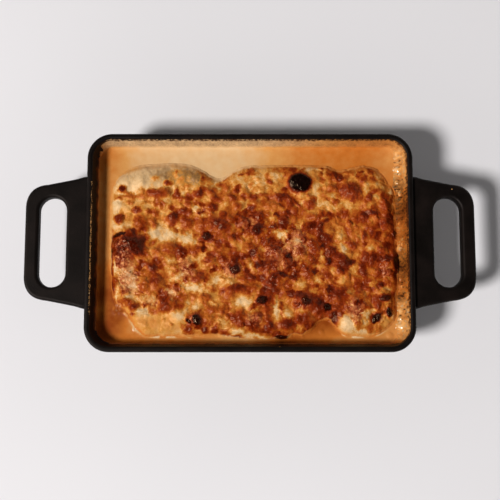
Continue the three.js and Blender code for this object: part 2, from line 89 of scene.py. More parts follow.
# Browned places of the crust: x, y, half length, half width, turn in degrees, depth of browning
BROWNED = (
    (-89, 38, 2.8, 2.4, 0, 0.75), (-86, 35, 2.5, 1.2, -40, 0.45), (-66, 45, 3.6, 2.2, 0, 0.3),
    (-57, 42, 3.2, 2.4, 0, 0.7), (-51, 50, 1.6, 1.0, 60, 0.4), (-64, 34, 8.5, 3.2, 8, 0.62),
    (-61, 34, 4, 2.5, 20, 0.3), (-82, 32, 10, 1.6, -6, 0.42), (-91, 31, 3.5, 1.5, 0, 0.45),
    (-50, 34, 1.9, 5, 15, 0.62), (-47, 31, 2, 2, 0, 0.5), (-83, 28, 2.5, 2, 0, 0.4),
    (-80, 23, 3, 1.5, 10, 0.45), (-69, 22, 3.6, 2.4, -10, 0.55), (-65, 20, 2.5, 2.2, 0, 0.5),
    (-91, 17, 4.3, 3.4, -15, 0.7), (-76, 14, 5.5, 5, 0, 0.5), (-53, 18, 4.2, 3.8, -15, 0.75),
    (-46, 22, 3, 2.2, 0, 0.7), (-44, 16, 5, 3.5, 0, 0.55), (-66, 13, 2.8, 4, 0, 0.45),
    # (-76, -3) is the dark right half of the dome at (-81, 0.5): partly browning, partly painted shade
    # of its far side
    (-81, 0.5, 6.4, 8, 20, 0.88), (-90, 5, 5, 1.8, 10, 0.85), (-76, -3, 4.5, 6.5, 0, 0.85),
    (-89, -3, 7, 8, 0, 0.68), (-85, -8, 6, 3, 0, 0.66), (-36, 34, 4.4, 3, 0, 0.68),
    (-27, 36, 3.5, 2.4, 0, 0.5), (-24, 31, 4.4, 2.6, 0, 0.6), (-26, 25, 3.6, 4.2, 0, 0.65),
    (-42, 26, 2.5, 2.5, 0, 0.5), (-20, 41, 3.2, 1.8, -10, 0.5), (-17, 38, 2.5, 2.5, 0, 0.45),
    (-12, 31, 2.6, 4, 35, 0.58), (-8, 26, 2.8, 3, 20, 0.55), (-4, 37, 3, 2.4, 0, 0.3),
    (-2, 34, 3, 1.8, 0, 0.4), (3, 32, 4.4, 1.9, 0, 0.65), (9, 34, 4.5, 1.6, 5, 0.5),
    (14, 43, 3.4, 1.8, -40, 0.62), (-6, 48, 1.9, 1.0, 25, 0.6), (-33, 46, 1.2, 0.9, 0, 0.6),
    (24, 47, 1.1, 1.5, 0, 0.55), (23, 32, 7, 2.8, -8, 0.65), (28, 27, 3.5, 3.5, 0, 0.6),
    (14, 26, 7, 3.5, 0, 0.42), (5, 27, 5, 3, 0, 0.38), (-23, 14, 7.5, 4.6, 0, 0.58),
    (-17, 11, 4, 3.8, 0, 0.6), (-30, 5, 3.6, 3.2, 0, 0.85), (-22, 6, 4, 2.5, 0, 0.5),
    (-33, 12, 5, 4, 0, 0.5), (-9, 17, 6, 3.2, 0, 0.55), (-4, 14, 4, 3.5, 0, 0.5),
    (7, 17, 4.4, 4.5, 0, 0.72), (6, 9, 4.2, 5.5, 0, 0.82), (1, 8, 3, 4, 0, 0.55),
    (-13, 4, 6, 4, 0, 0.5), (22, 14, 3.4, 5, -10, 0.75), (15, 12, 3.5, 2.5, 0, 0.5),
    (29, 7, 2.5, 3, 0, 0.5), (12, 4, 3, 4, 0, 0.5), (35, 41.5, 9.0, 8.0, -10, 0.5),
    (30, 37.5, 3, 2, -40, 0.7), (49.5, 52.5, 2.2, 0.8, 0, 0.5), (57.5, 48, 4, 1.4, 0, 0.68),
    (63, 45, 4.5, 3, 0, 0.4), (-37, -52, 7, 5, 0, 0.55), (47, -46, 6, 4, 0, 0.66),
    (-4, -33, 6, 3, 0, 0.5), (94, 27, 3.6, 7, 0, 0.56), (95, 15, 4, 7, 0, 0.54),
    (66, 50, 4, 1.8, 0, 0.4), (-94, -30, 2.4, 6, 0, 0.7), (-72, -30, 4, 4, 0, 0.45),
    (-15, -32, 5, 2.5, 0, 0.5), (-48, 44, 4, 2.4, 60, 0.3), (-43, 40, 3.4, 2.0, 0, 0.34),
    (-38, -5, 5, 3, 0, 0.5), (-64, -6, 4, 3, 0, 0.45), (-55, 16, 5, 3, 0, 0.5), (-44, 13, 4, 3, 0, 0.5),
    (-66, 35, 9, 3, 8, 0.5), (-75, 33, 4, 2, 0, 0.4), (-26, -46, 5, 3, 0, 0.5),
    (80, -44, 4, 2.5, 0, 0.5), (77.5, 50, 2.2, 1, 0, 0.65), (82, 52, 1.5, 1, 30, 0.4),
    (77, 43.5, 2.4, 1, 0, 0.45), (46, 46, 2.6, 2.2, 0, 0.3), (57, 38, 5, 3, 0, 0.32),
    (66, 40, 3.6, 3, 0, 0.45), (70, 35, 6, 5.5, 0, 0.62), (71.5, 33.5, 2.6, 3, 0, 0.35),
    (87, 36, 2.8, 1.6, 0, 0.55), (83, 31, 2.4, 2.4, 0, 0.62), (93, 28.5, 1.2, 2, 0, 0.5),
    (95, 22.5, 1.4, 2.2, 0, 0.5), (85, 21, 4.4, 2.4, -10, 0.75), (89, 16.5, 3.2, 2.2, -20, 0.5),
    (42, 27, 3.2, 3, 0, 0.58), (41, 33, 1.6, 1.6, 0, 0.45), (51, 33, 3.6, 3, 10, 0.35),
    (33, 27, 5.5, 1.6, -52, 0.65), (72, 18, 2.6, 1.8, 0, 0.45), (79, 18, 2, 1.6, 0, 0.5),
    (69, 14, 1.6, 5, 10, 0.5), (53, 15.5, 3.6, 1.4, 15, 0.7), (49, 12, 2.4, 3.4, -35, 0.72),
    (48, 7.5, 2.4, 3, 0, 0.7), (53, 3, 5, 2.6, -35, 0.72), (42, 18, 4.4, 2.8, 0, 0.5),
    (40, 11, 4, 3.5, 0, 0.55), (34, 7, 4.5, 3.5, 0, 0.5), (42, 1.5, 3, 2, 0, 0.6),
    (60, 13, 1.4, 1, 0, 0.4), (60, 18, 1.2, 1, 0, 0.4), (70, 8, 1.8, 3, 0, 0.45),
    (79, 5, 2.2, 4, 5, 0.66), (83, 11, 4, 2.5, 0, 0.3), (100.5, 6, 2.4, 3.4, 0, 0.75),
    (93, 14, 3, 3.5, 0, 0.35), (-93, -3, 3, 5, 0, 0.4), (-85, -13, 4, 2.5, 0, 0.3),
    (-67, -17, 4, 2.7, -15, 0.75), (-55, -3, 4.5, 5, 0, 0.48), (-47, -6, 4, 3.6, 0, 0.76),
    (-54, -16, 3, 1.6, -10, 0.4), (-72, -26, 3.6, 5, 0, 0.4), (-75, -20, 3, 2, 0, 0.45),
    (-64, -28, 4, 5.5, 0, 0.45), (-92, -27, 2.6, 4.5, 0, 0.5), (-86, -24, 3, 1.8, 0, 0.4),
    (-86, -33, 4, 4.5, 0, 0.5), (-84, -40, 5, 2, 0, 0.5), (-80, -44, 3.2, 3.4, 0, 0.68),
    (-80, -49, 2.2, 1.4, 0, 0.62), (-72, -43, 4, 1.6, 10, 0.5), (-58, -41, 4.2, 6.5, -8, 0.66),
    (-62, -46, 3.6, 2, 0, 0.5), (-52, -43, 4, 4, 0, 0.5), (-54, -56, 1.8, 1.2, 0, 0.35),
    (-67, -33, 4, 3, 0, 0.4), (-36, -25, 4.2, 3.6, 0, 0.55), (-36, -25, 2.4, 1.8, 0, 0.5),
    (-40, -20, 3.5, 2, 0, 0.45), (-44, -14, 3, 4, 0, 0.4), (-26, -13, 4, 4, 0, 0.35),
    (-21, -5, 5, 4, 0, 0.45), (-18, -11, 2.6, 3.8, 0, 0.68), (-11, -12, 3, 3.6, 0, 0.7),
    (-10.2, -18, 4.6, 5, 0, 0.82), (-14, -17, 3, 3, 0, 0.45), (-5, -25, 3.4, 2.4, 0, 0.5),
    (-8, -31, 5, 2.6, 15, 0.72), (-14, -35, 3, 2.5, 0, 0.5), (1, -24, 5, 2.6, -10, 0.66),
    (2, -31, 4, 2, 0, 0.5), (9.6, -39, 5.6, 3.6, 15, 0.85), (16, -33, 5.5, 4, 20, 0.68),
    (13, -27, 4, 3, 0, 0.66), (10, -17, 5, 3, 0, 0.6), (18, -23, 3, 3, 0, 0.68),
    (21, -28, 3, 2.6, -10, 0.5), (24, -33, 4, 3, 0, 0.45), (15, -14, 5, 4, 0, 0.7),
    (22, -10, 5, 6, 0, 0.5), (26, -15, 3, 4, 0, 0.6), (4, -6, 4, 4, 0, 0.5), (17, -4, 4, 4, 0, 0.66),
    (-24, -45, 4, 3, 0, 0.45), (-19, -47, 2, 3, 0, 0.5), (-30, -38, 5, 3, 0, 0.45),
    (-36, -53.5, 3.2, 3.8, 10, 0.9), (-41.5, -54.5, 1.6, 2.2, 40, 0.85), (-28, -53, 3.5, 3, 0, 0.35),
    (-8, -52, 4.6, 5, 0, 0.62), (-6, -46, 3, 2.4, 0, 0.4), (2, -56, 4.6, 4.6, 0, 0.74),
    (-2, -52, 3, 3, 0, 0.45), (5, -50, 4, 3, 0, 0.6), (12, -46, 3, 4.4, 0, 0.55),
    (14, -57, 3, 3, 0, 0.68), (25, -56, 5, 3.6, 0, 0.72), (18, -61, 3, 2, 0, 0.4),
    (-4, -66.5, 2.2, 1.6, 0, 0.5), (22, -65, 4.6, 1.6, -3, 0.8), (-22, -57, 3, 2, 0, 0.35),
    (43, -10, 4.6, 2.8, 0, 0.5), (45, -4, 4, 3, 0, 0.45), (35, -5, 4, 5, 0, 0.58),
    (56, -6, 3, 4.2, 0, 0.68), (48, 0, 3, 2, 0, 0.55), (62, -10, 4, 2.6, -25, 0.66),
    (65.5, -14, 3.4, 4, 25, 0.76), (70.5, -1, 3.2, 3.2, 0, 0.62), (79, -10, 2.6, 4, 0, 0.66),
    (77.5, -17, 2.2, 4.4, 10, 0.7), (79, -22, 2.2, 2.6, 0, 0.68), (84, -12, 2, 4.2, -8, 0.68),
    (90, -5, 2.4, 2.4, 0, 0.55), (102, -14, 4.4, 6.2, 5, 0.9), (92, -20, 5, 3, 0, 0.62),
    (95, -13, 4, 4, 0, 0.5), (104, -26, 3.2, 4, 10, 0.75), (99, -28, 3, 2.5, 0, 0.5),
    (103.5, -38.5, 2.8, 2.6, 0, 0.7), (92, -38, 5, 2.6, 8, 0.85), (87, -43, 2.4, 3.4, 15, 0.62),
    (95, -48, 2.1, 3, 0, 0.97), (86, -52, 3, 4.6, -40, 0.93), (73, -40, 6, 6, 0, 0.45),
    (61.5, -35, 6, 4.6, 0, 0.7), (52, -32, 3, 3, 0, 0.45), (57, -38, 4, 3, 0, 0.5),
    (38, -40, 5.8, 4.3, -12, 0.78), (52.5, -44.5, 3, 3, 0, 0.93), (46, -43, 5, 4, 0, 0.6),
    (40, -22, 4.6, 4.6, 0, 0.55), (53, -23, 3, 3.2, 0, 0.6), (60, -20, 4, 3, 0, 0.35),
    (80, -32, 3, 1.6, 0, 0.55), (36, -52, 6.5, 4.2, 10, 0.66), (50, -51.5, 5, 2.6, 10, 0.5),
    (58, -46, 4, 2.5, 20, 0.5), (73.5, -54, 3, 5, 0, 0.45), (66, -44, 4, 4, 0, 0.45),
)

# Charred places, with sharp edges: x, y, half length, half width, turn, depth
CHARRED = (
    (34.8, 42.0, 8.5, 6.9, -12, 1.0), (95, -48, 2.1, 3.2, 0, 0.94), (86, -52, 2.6, 4.4, -40, 0.92),
    (-36.5, -53, 2.8, 3.8, 12, 0.92), (-42, -54, 1.4, 2.6, 40, 0.9), (53, -44.5, 2.6, 2.8, 0, 0.93),
    (8.4, -39.4, 4.4, 2.8, 10, 0.9), (22, -65, 5.2, 1.6, -3, 0.9), (-30, 4.5, 3, 2.8, 0, 0.85),
    (102, -14, 3.6, 5.4, 5, 0.9), (92.5, -38.5, 3.6, 2.0, 8, 0.84), (5, 9.5, 3, 4, 0, 0.8),
    # (-78.5, -3) darkens the right half of the big dome at the left: partly char, partly painted shade
    # of its far side
    (-10.2, -19, 3.4, 3.4, 0, 0.84), (-78.5, -3, 4, 6, 8, 0.76), (-90, 5.5, 5.5, 1.4, 12, 0.88),
    (-89, 38, 2.2, 1.8, 0, 0.72), (100.5, 6, 1.8, 3, 0, 0.8), (38, -40.4, 3.4, 2.8, 0, 0.86),
)

# Pale places, where the cheese kept its colour, and a few painted highlights: x, y, half length, half
# width, turn, strength
PALE = (
    (-75, 45, 17, 8, 8, 0.9), (-90, 41, 6, 6, 0, 0.6), (-62, 50, 6, 5, 0, 0.7), (-38, 46, 5, 5, 0, 0.3),
    (-47, 47, 5, 4, 0, 0.5), (-26, 43, 6, 2.5, 5, 0.6), (-10, 44, 8, 3, 8, 0.3), (18, 48, 5, 4, 0, 0.6),
    (8, 42, 4, 5, 0, 0.5), (-93, 27, 4.5, 4.5, 0, 0.9), (-86, 24, 4.5, 4, 0, 0.8),
    (-90, 12, 6, 2, 8, 0.7), (-66, 6, 6, 5, 0, 0.85), (-56, 5.5, 7, 4.6, 0, 0.9),
    (-44, 3, 6.5, 3.6, 0, 0.9), (-52, 38, 1.6, 3, 20, 0.6), (-46, 32, 1.2, 5, 15, 0.5),
    (-33, 19, 4, 2.5, 0, 0.5), (-37, 24, 3.4, 2.6, 0, 0.9), (-5, 29, 2.4, 4, 0, 0.6),
    (-21, 37, 2.4, 2.4, 0, 0.6), (-17, 28, 3, 3, 0, 0.6), (-12, 11, 3, 3, 0, 0.5),
    (16, 17, 4, 2.4, 0, 0.5), (22, 23, 3, 2, 0, 0.6), (22, 5, 4.5, 4, 30, 0.9), (17, 8, 3, 2, 0, 0.5),
    (36, 33, 6, 2.5, 0, 0.7), (46, 38, 4, 5, 0, 0.75), (57, 33, 3.4, 2.6, 0, 0.5),
    (42, 52, 8, 1.2, 12, 0.5), (72, 44, 4, 2.4, 0, 0.6), (80, 38, 3, 5, 0, 0.55),
    (88, 32, 3.0, 2.4, 0, 0.4), (84, 41, 6, 3, -20, 0.3), (-80, -29, 3, 6, 0, 0.7),
    (52, 27, 10, 3.4, -4, 0.55), (62, 25, 3.4, 3, 0, 0.4), (55, 8, 4, 3, 0, 0.5),
    (63, 4, 3.2, 6, 0, 0.55), (76, 11, 4, 2.4, 10, 0.3), (88, 9, 3, 1.6, 10, 0.3),
    (33, 0, 3.6, 2.6, 0, 0.9), (64, -4, 3.6, 4, 0, 0.8), (50, -9, 1.6, 6, 8, 0.7),
    (47, -16, 4, 2, 0, 0.6), (83, -4, 2.4, 2.4, 0, 0.6), (72, -17, 3, 3, 0, 0.5),
    (62.5, -26, 4.6, 3.6, 15, 0.6), (57, -20, 2.4, 4, 0, 0.6), (46, -26, 4.4, 4, 20, 0.75),
    # (67, -34), (74, -61) and (21, -64.5) are partly pale cheese and partly painted glints; (-92.5,
    # -38) and (-93.5, -15) are the slab's pale left lip with a painted highlight along it
    (33, -27, 5.0, 4, 0, 0.25), (67, -34, 2.2, 1.5, 35, 0.8), (95, -32, 5, 1.6, -15, 0.8),
    (83, -46, 3.4, 2.4, 0, 0.85), (79, -51, 2.4, 7, 0, 0.75), (98, -51, 2.4, 4, 0, 0.9),
    (66, -56, 3.8, 5.2, 10, 0.95), (74, -61, 3, 1.6, 0, 0.4), (35, -47, 2.6, 2.4, 0, 0.7),
    (25.5, -49, 3, 3.4, 10, 1.0), (18, -46, 3, 8.5, 0, 1.0), (-4, -41, 9, 3.6, 8, 0.75),
    (5, -31, 4, 2, 0, 0.4), (-21, -27, 8.5, 4, 0, 0.85), (-38, -31, 9, 3.6, 0, 1.0),
    (-37, -44.5, 2.4, 5, -15, 0.8), (-49, -51, 5.5, 5, 20, 0.95), (-92.5, -38, 1.2, 9, 8, 1.0),
    (-93.5, -15, 1.0, 7, 5, 0.8), (-10, -61, 6, 2.6, 5, 1.0), (3, -64, 12, 2.4, -8, 0.9),
    (21, -64.5, 3, 1.2, 0, 0.8), (-46, -24, 7, 4, 15, 0.4), (-52, -22, 4.4, 4, 30, 0.6),
    (-54, -12, 4, 3.4, 0, 0.7), (-62, -8, 7, 1.8, -30, 0.6), (-83, -25, 4, 8, 10, 0.5),
    (-85, -37, 4, 4, 0, 0.5), (-67, -38, 4, 3.6, 0, 0.8), (-74, -38, 4, 4, 0, 0.5),
    (-75, -47, 4, 2, 0, 0.7), (-75, -56, 6, 3, -20, 0.5), (-55, -34, 5.5, 1.8, -38, 0.6),
    (-18, -54, 3.6, 3.6, 0, 0.5), (-13, -23, 2.4, 3, 0, 0.5), (0, -15, 2.4, 6, 30, 0.5),
    (8, -4, 2.4, 2.4, 0, 0.5),
)

# Where bare pasta shows grey through the cheese, and some painted shade: x, y, half length, half width,
# turn, strength
GREY = (
    (-74, 46, 17, 8, 8, 0.4), (-47, 45.5, 13, 7, 0, 1.1), (-36, 44, 7, 6, 0, 0.9),
    (-60, 49, 7, 5, 0, 0.5), (-65, 45, 6, 5, 0, 0.35), (55, 8, 4, 3, 0, 0.5),
    (62.5, -26, 5, 4, 15, 0.6), (79, -51, 2.4, 7, 0, 0.4), (17, 17, 4, 2.4, 0, 0.4),
    (92, 24, 2, 3, 0, 0.5), (8, -4, 2.4, 2.4, 0, 0.5), (74, 43, 5, 3, 0, 0.45), (58, 48, 6, 3, 0, 0.4),
    # (82, 36), (90, 28) and (76, 26), over the slab's far right flank, partly paint the shade of that
    # slope as dull olive
    (82, 36, 6, 5, 0, 0.4), (90, 28, 8, 16, 0, 0.55), (76, 26, 10, 8, 0, 0.35),
)

# Broad swells and slumps of the slab: x, y, half length, half width, turn, height
SWELLS = (
    (-79, 1, 9, 10, 10, 2.4), (84, 30, 10, 15, 0, 1.6), (86, -2, 8, 12, 0, 1.4),
    (101, 36, 7, 18, 0, -1.8), (98, 48, 9, 9, 0, -2.6), (101, -14, 6, 14, 0, 1.5),
    (-98, -34, 5, 18, 0, -3.0), (-86, -53, 20, 6.4, -54, -4.4), (-88, -26, 8, 16, 0, 1.0),
    (68, -54, 8, 7, 0, 1.2), (-72, 45, 17, 8, 8, 1.0), (5, -52, 15, 9, 0, 1.0), (70, 35, 7, 6, 0, 1.2),
    (-58, -40, 8, 9, 0, 1.0), (40, -38, 9, 7, 0, 1.2), (-22, 10, 14, 10, 0, 1.0),
    (18, -22, 12, 12, 0, 1.0), (-46, -51, 9, 4, 10, 1.0), (-8, -61, 9, 4, 5, 3.0),
    (6, -64, 11, 3.4, -8, 3.6), (22, -65, 6, 3, -3, 2.4), (-30, -42, 12, 5, 0, -1.2),
    (62, 8, 6, 14, 0, -1.0), (-60, 6, 10, 5, 0, -0.8), (50, -50, 8, 6, 0, -1.0),
    (92, -44, 7, 8, 0, 0.8),
)

# Where orange oil has soaked the cheese, in one place also painted shade: x, y, half length, half
# width, turn, strength
OILY = (
    (-82, 22, 12, 9, 0, 0.6), (-58, 24, 4, 4, 0, 0.8), (-86, 53, 9, 4, 10, 0.8),
    (-86, -54, 14, 10, -40, 0.9), (-60, -56, 24, 7, 0, 0.75), (-32, -61, 14, 5, 0, 0.8),
    (-22, -34, 5, 4, 0, 0.7), (-79, -34, 5, 3, 0, 0.7), (60, 45, 26, 7, 0, 0.5),
    # (88, 20) also darkens the slab's far right flank, partly painting the shade of that slope
    (88, 20, 12, 20, 0, 0.8), (95, 43, 6, 6, 0, 0.9), (88, -30, 12, 6, 0, 0.6),
    (96, -56, 12, 10, 0, 0.7), (24, 52, 16, 5, 0, 0.5), (46, -58, 12, 6, 0, 0.6),
    (50, 30, 30, 10, 0, 0.2),
)

# How browned the crust is on the whole: x, y, reach, depth
LEVELS = (
    (-90, 45, 10, 0.12), (-72, 45, 14, 0.0), (-50, 46, 10, 0.05), (-67, 43.5, 3, 0.24),
    (-50, 47, 4.5, 0.3), (-25, 44, 10, 0.2), (-14, 45, 4, 0.32), (64, 36, 4, 0.52), (-35, -25, 4, 0.48),
    (-36, -5, 4, 0.48), (-80, -30, 3.5, 0.12), (56, -55, 3, 0.66), (76, -55, 3, 0.12),
    (25, -25, 3.5, 0.36), (36, -34, 3, 0.42), (95, -35, 3, 0.24), (-25, -35, 3.5, 0.22),
    (-75, 5, 4, 0.36), (45, 35, 4.4, 0.15), (-36, -46, 3, 0.24), (45, -14, 3, 0.26), (64, 46, 4, 0.46),
    (55, 50, 4, 0.44), (5, 42, 12, 0.2), (15, 45, 6, 0.26), (26, 47, 7, 0.38), (45, 46, 6, 0.12),
    (58, 46, 8, 0.32), (67, 40, 8, 0.42), (80, 44, 12, 0.32), (95, 43, 7, 0.06), (-92, 26, 8, 0.14),
    (-80, 26, 8, 0.25), (-65, 28, 10, 0.24), (-66, 36, 5, 0.44), (-55, 36, 4, 0.34), (-76, 34, 4, 0.36),
    (-45, 28, 8, 0.34), (-25, 30, 10, 0.38), (0, 30, 12, 0.34), (22, 30, 10, 0.42), (35, 36, 4, 0.18),
    (15, 36, 4, 0.22), (45, 30, 10, 0.28), (65, 28, 10, 0.36), (85, 30, 8, 0.4), (96, 22, 7, 0.42),
    (-90, 12, 8, 0.26), (-75, 15, 8, 0.35), (-60, 7, 9, 0.1), (-50, 14, 6, 0.38), (-38, 3, 6, 0.15),
    (-28, 12, 10, 0.44), (0, 12, 12, 0.48), (25, 12, 10, 0.38), (15, 15, 4, 0.54), (-66, 14, 4, 0.42),
    (86, 4, 5, 0.4), (5, -45, 4, 0.26), (45, 12, 8, 0.48), (65, 12, 8, 0.42), (85, 14, 10, 0.54),
    (97, 5, 6, 0.5), (-90, -5, 8, 0.58), (-68, -5, 8, 0.36), (-50, -8, 8, 0.44), (-25, -6, 12, 0.4),
    (0, -8, 12, 0.46), (-3, -16, 5, 0.28), (20, -8, 12, 0.48), (35, -2, 6, 0.36), (45, -5, 7, 0.56),
    (45, -15, 4, 0.36), (60, -2, 8, 0.36), (82, -5, 8, 0.34), (87, -15, 7, 0.6), (97, -8, 6, 0.56),
    (-85, -22, 10, 0.26), (-68, -22, 8, 0.44), (-58, -22, 7, 0.36), (-42, -24, 8, 0.34),
    (-34, -14, 6, 0.17), (-18, -22, 10, 0.36), (5, -22, 10, 0.46), (20, -22, 7, 0.52),
    (30, -26, 6, 0.46), (25, -4, 6, 0.5), (14, -10, 6, 0.58), (44, -22, 7, 0.44), (60, -26, 8, 0.44),
    (56, -15, 6, 0.58), (76, -22, 8, 0.42), (95, -25, 8, 0.46), (97, -35, 5, 0.32), (-86, -38, 8, 0.3),
    (-94, -25, 4, 0.46), (-94, -44, 5, 0.6), (-68, -38, 8, 0.42), (-50, -38, 8, 0.42),
    (-57, -45, 4, 0.65), (-44, -46, 4, 0.2), (-15, -35, 4, 0.5), (-75, -36, 4, 0.5), (-45, -35, 4, 0.5),
    (-45, 10, 4, 0.44), (-28, -36, 8, 0.32), (-5, -34, 7, 0.34), (-5, -42, 6, 0.16), (12, -40, 8, 0.44),
    (22, -46, 6, 0.2), (33, -30, 6, 0.34), (40, -38, 7, 0.52), (50, -45, 7, 0.58), (60, -36, 8, 0.54),
    (75, -42, 8, 0.42), (92, -42, 9, 0.42), (-80, -54, 10, 0.1), (-58, -56, 12, 0.12),
    (-38, -54, 7, 0.42), (-24, -55, 8, 0.36), (-5, -54, 8, 0.44), (10, -55, 8, 0.46), (25, -57, 8, 0.5),
    (42, -52, 8, 0.42), (54, -55, 5, 0.55), (66, -57, 5, 0.04), (80, -54, 8, 0.24), (97, -53, 7, 0.2),
)

# Where fine blisters crackle the crust: x, y, half length, half width, turn, strength
CRACKLED = (
    (-88, -6, 9, 14, 0, 1.0), (-83, -26, 10, 14, 0, 0.9), (-44, -18, 9, 14, 0, 0.7),
    (-54, -34, 7, 5, -38, 0.8), (22, -8, 22, 20, 0, 0.6), (0, 14, 14, 12, 0, 0.6),
    (72, -46, 9, 12, 0, 0.8), (2, -53, 9, 7, 0, 0.7), (-15, -17, 8, 9, 0, 0.6), (93, -20, 8, 8, 0, 0.6),
    (34, 2, 8, 12, 0, 0.6), (-34, 22, 10, 8, 0, 0.5), (-68, -40, 12, 7, 0, 0.6), (8, -40, 6, 5, 0, 0.9),
    (37, -41, 6, 5, 0, 0.9), (-11, -19, 6, 6, 0, 0.9), (87, -52, 6, 5, 0, 0.8),
    (-37, -53, 5, 6, 0, 0.8),
)


def linear(code: str) -> tuple[float, float, float, float]:
    """Turns an sRGB hex colour into the linear one that a shader wants.

    Args:
        code: The colour, such as "#dea564".

    Returns:
        Red, green, blue and an alpha of 1.
    """
    channels = []
    for start in (1, 3, 5):
        value = int(code[start:start + 2], 16) / 255
        channels.append(value / 12.92 if value <= 0.04045 else ((value + 0.055) / 1.055) ** 2.4)
    return (*channels, 1.0)


def smooth(value: np.ndarray, low: float, high: float) -> np.ndarray:
    """Goes smoothly from 0 at low to 1 at high.

    Args:
        value: What is compared with the two limits.
        low: Where the result is 0.
        high: Where the result is 1; it may be under low.

    Returns:
        The share, from 0 to 1, in the shape of value.
    """
    share = np.clip((value - low) / (high - low), 0, 1)
    return share * share * (3 - 2 * share)


def ripple(x: np.ndarray, y: np.ndarray, size: float, seed: int) -> np.ndarray:
    """Seeded gradient noise over the plane, from about -1 to 1.

    Args:
        x: Places along the dish.
        y: Places across the dish.
        size: The width of one swell.
        seed: Which pattern to draw.

    Returns:
        The noise at each place.
    """
    count = NOISE_COUNT
    turns = np.random.default_rng(seed).uniform(0, 2 * math.pi, (count, count))
    c, s = math.cos(seed), math.sin(seed)
    u, v = (x * c - y * s) / size, (x * s + y * c) / size
    i, j = np.floor(u).astype(int), np.floor(v).astype(int)
    fu, fv = u - i, v - j
    fade_u, fade_v = (f * f * f * (f * (6 * f - 15) + 10) for f in (fu, fv))
    total = np.zeros_like(u)
    for di, weight_u in ((0, 1 - fade_u), (1, fade_u)):
        for dj, weight_v in ((0, 1 - fade_v), (1, fade_v)):
            turn = turns[(i + di) % count, (j + dj) % count]
            slope = np.cos(turn) * (fu - di) + np.sin(turn) * (fv - dj)
            total += weight_u * weight_v * slope
    return 1.6 * total


def ripples(x: np.ndarray, y: np.ndarray, size: float, octaves: int, seed: int) -> np.ndarray:
    """Several sizes of ripple on top of each other, each half as wide and half as high.

    Args:
        x: Places along the dish.
        y: Places across the dish.
        size: The width of the widest swell.
        octaves: How many sizes to add.
        seed: Which pattern to draw.

    Returns:
        The noise at each place, from about -1 to 1.
    """
    total = sum(ripple(x, y, size / 2 ** k, seed + k) / 2 ** k for k in range(octaves))
    return total / (2 - 2 ** (1 - octaves))


@dataclass(frozen=True)
class Cells:
    """Jittered cells over the plane, as bubbles and blisters crowd a crust."""

    spacing: float
    seed: int

    def nearest(self, x: np.ndarray, y: np.ndarray) -> tuple[np.ndarray, np.ndarray, np.ndarray]:
        """Finds the cell that each place lies in.

        Args:
            x: Places along the dish.
            y: Places across the dish.

        Returns:
            The distance to the cell's middle, the further distance to the next one, both in
            spacings, and a random number of the cell.
        """
        count = NOISE_COUNT
        random = np.random.default_rng(self.seed)
        jitter_x, jitter_y, number = random.uniform(0, 1, (3, count, count))
        u, v = x / self.spacing, y / self.spacing
        i, j = np.floor(u).astype(int), np.floor(v).astype(int)
        first = np.full(u.shape, 9.0)
        second = np.full(u.shape, 9.0)
        owner = np.zeros(u.shape)
        for di in (-1, 0, 1):
            for dj in (-1, 0, 1):
                a, b = (i + di) % count, (j + dj) % count
                away = np.hypot(i + di + jitter_x[a, b] - u, j + dj + jitter_y[a, b] - v)
                closer = away < first
                second = np.where(closer, first, np.minimum(second, away))
                owner = np.where(closer, number[a, b], owner)
                first = np.where(closer, away, first)
        return first, second, owner


def nearness(
    x: np.ndarray, y: np.ndarray, place: tuple, ragged: np.ndarray | float, soft: float
) -> np.ndarray:
    """How far within a soft ellipse each point lies.

    Args:
        x: Places along the dish.
        y: Places across the dish.
        place: The ellipse as x, y, half length, half width and turn in degrees.
        ragged: What is added to the distance, so that the edge runs in and out.
        soft: How far the edge fades, from 0, sharp, to 1, all the way from the middle.

    Returns:
        1 at the middle, 0 outside.
    """
    px, py, long, wide, turn = place[:5]
    c, s = math.cos(math.radians(turn)), math.sin(math.radians(turn))
    along = ((x - px) * c + (y - py) * s) / long
    across = (-(x - px) * s + (y - py) * c) / wide
    return smooth(np.hypot(along, across) + ragged, 1 + 0.5 * soft, 1 - soft)


def union(
    x: np.ndarray, y: np.ndarray, places: tuple, ragged: np.ndarray | float, soft: float
) -> np.ndarray:
    """The union of soft ellipses over the plane, each with its strength as the sixth number.

    Args:
        x: Places along the dish.
        y: Places across the dish.
        places: The ellipses.
        ragged: What is added to each distance.
        soft: How far each edge fades.

    Returns:
        The union's strength at each point, from 0 to 1.
    """
    left = np.ones_like(x)
    for place in places:
        left *= 1 - place[5] * nearness(x, y, place, ragged, soft)
    return 1 - left


def spread(x: np.ndarray, y: np.ndarray, places: tuple) -> np.ndarray:
    """Spreads values between places.

    Args:
        x: Places along the dish.
        y: Places across the dish.
        places: Where a value holds, as x, y, reach and value.

    Returns:
        The value at each point, led most by the places nearest to it.
    """
    total = np.zeros_like(x)
    weight = np.full_like(x, 1e-12)
    for px, py, reach, value in places:
        near = np.exp(-((x - px) ** 2 + (y - py) ** 2) / reach ** 2)
        total += value * near
        weight += near
    return total / weight


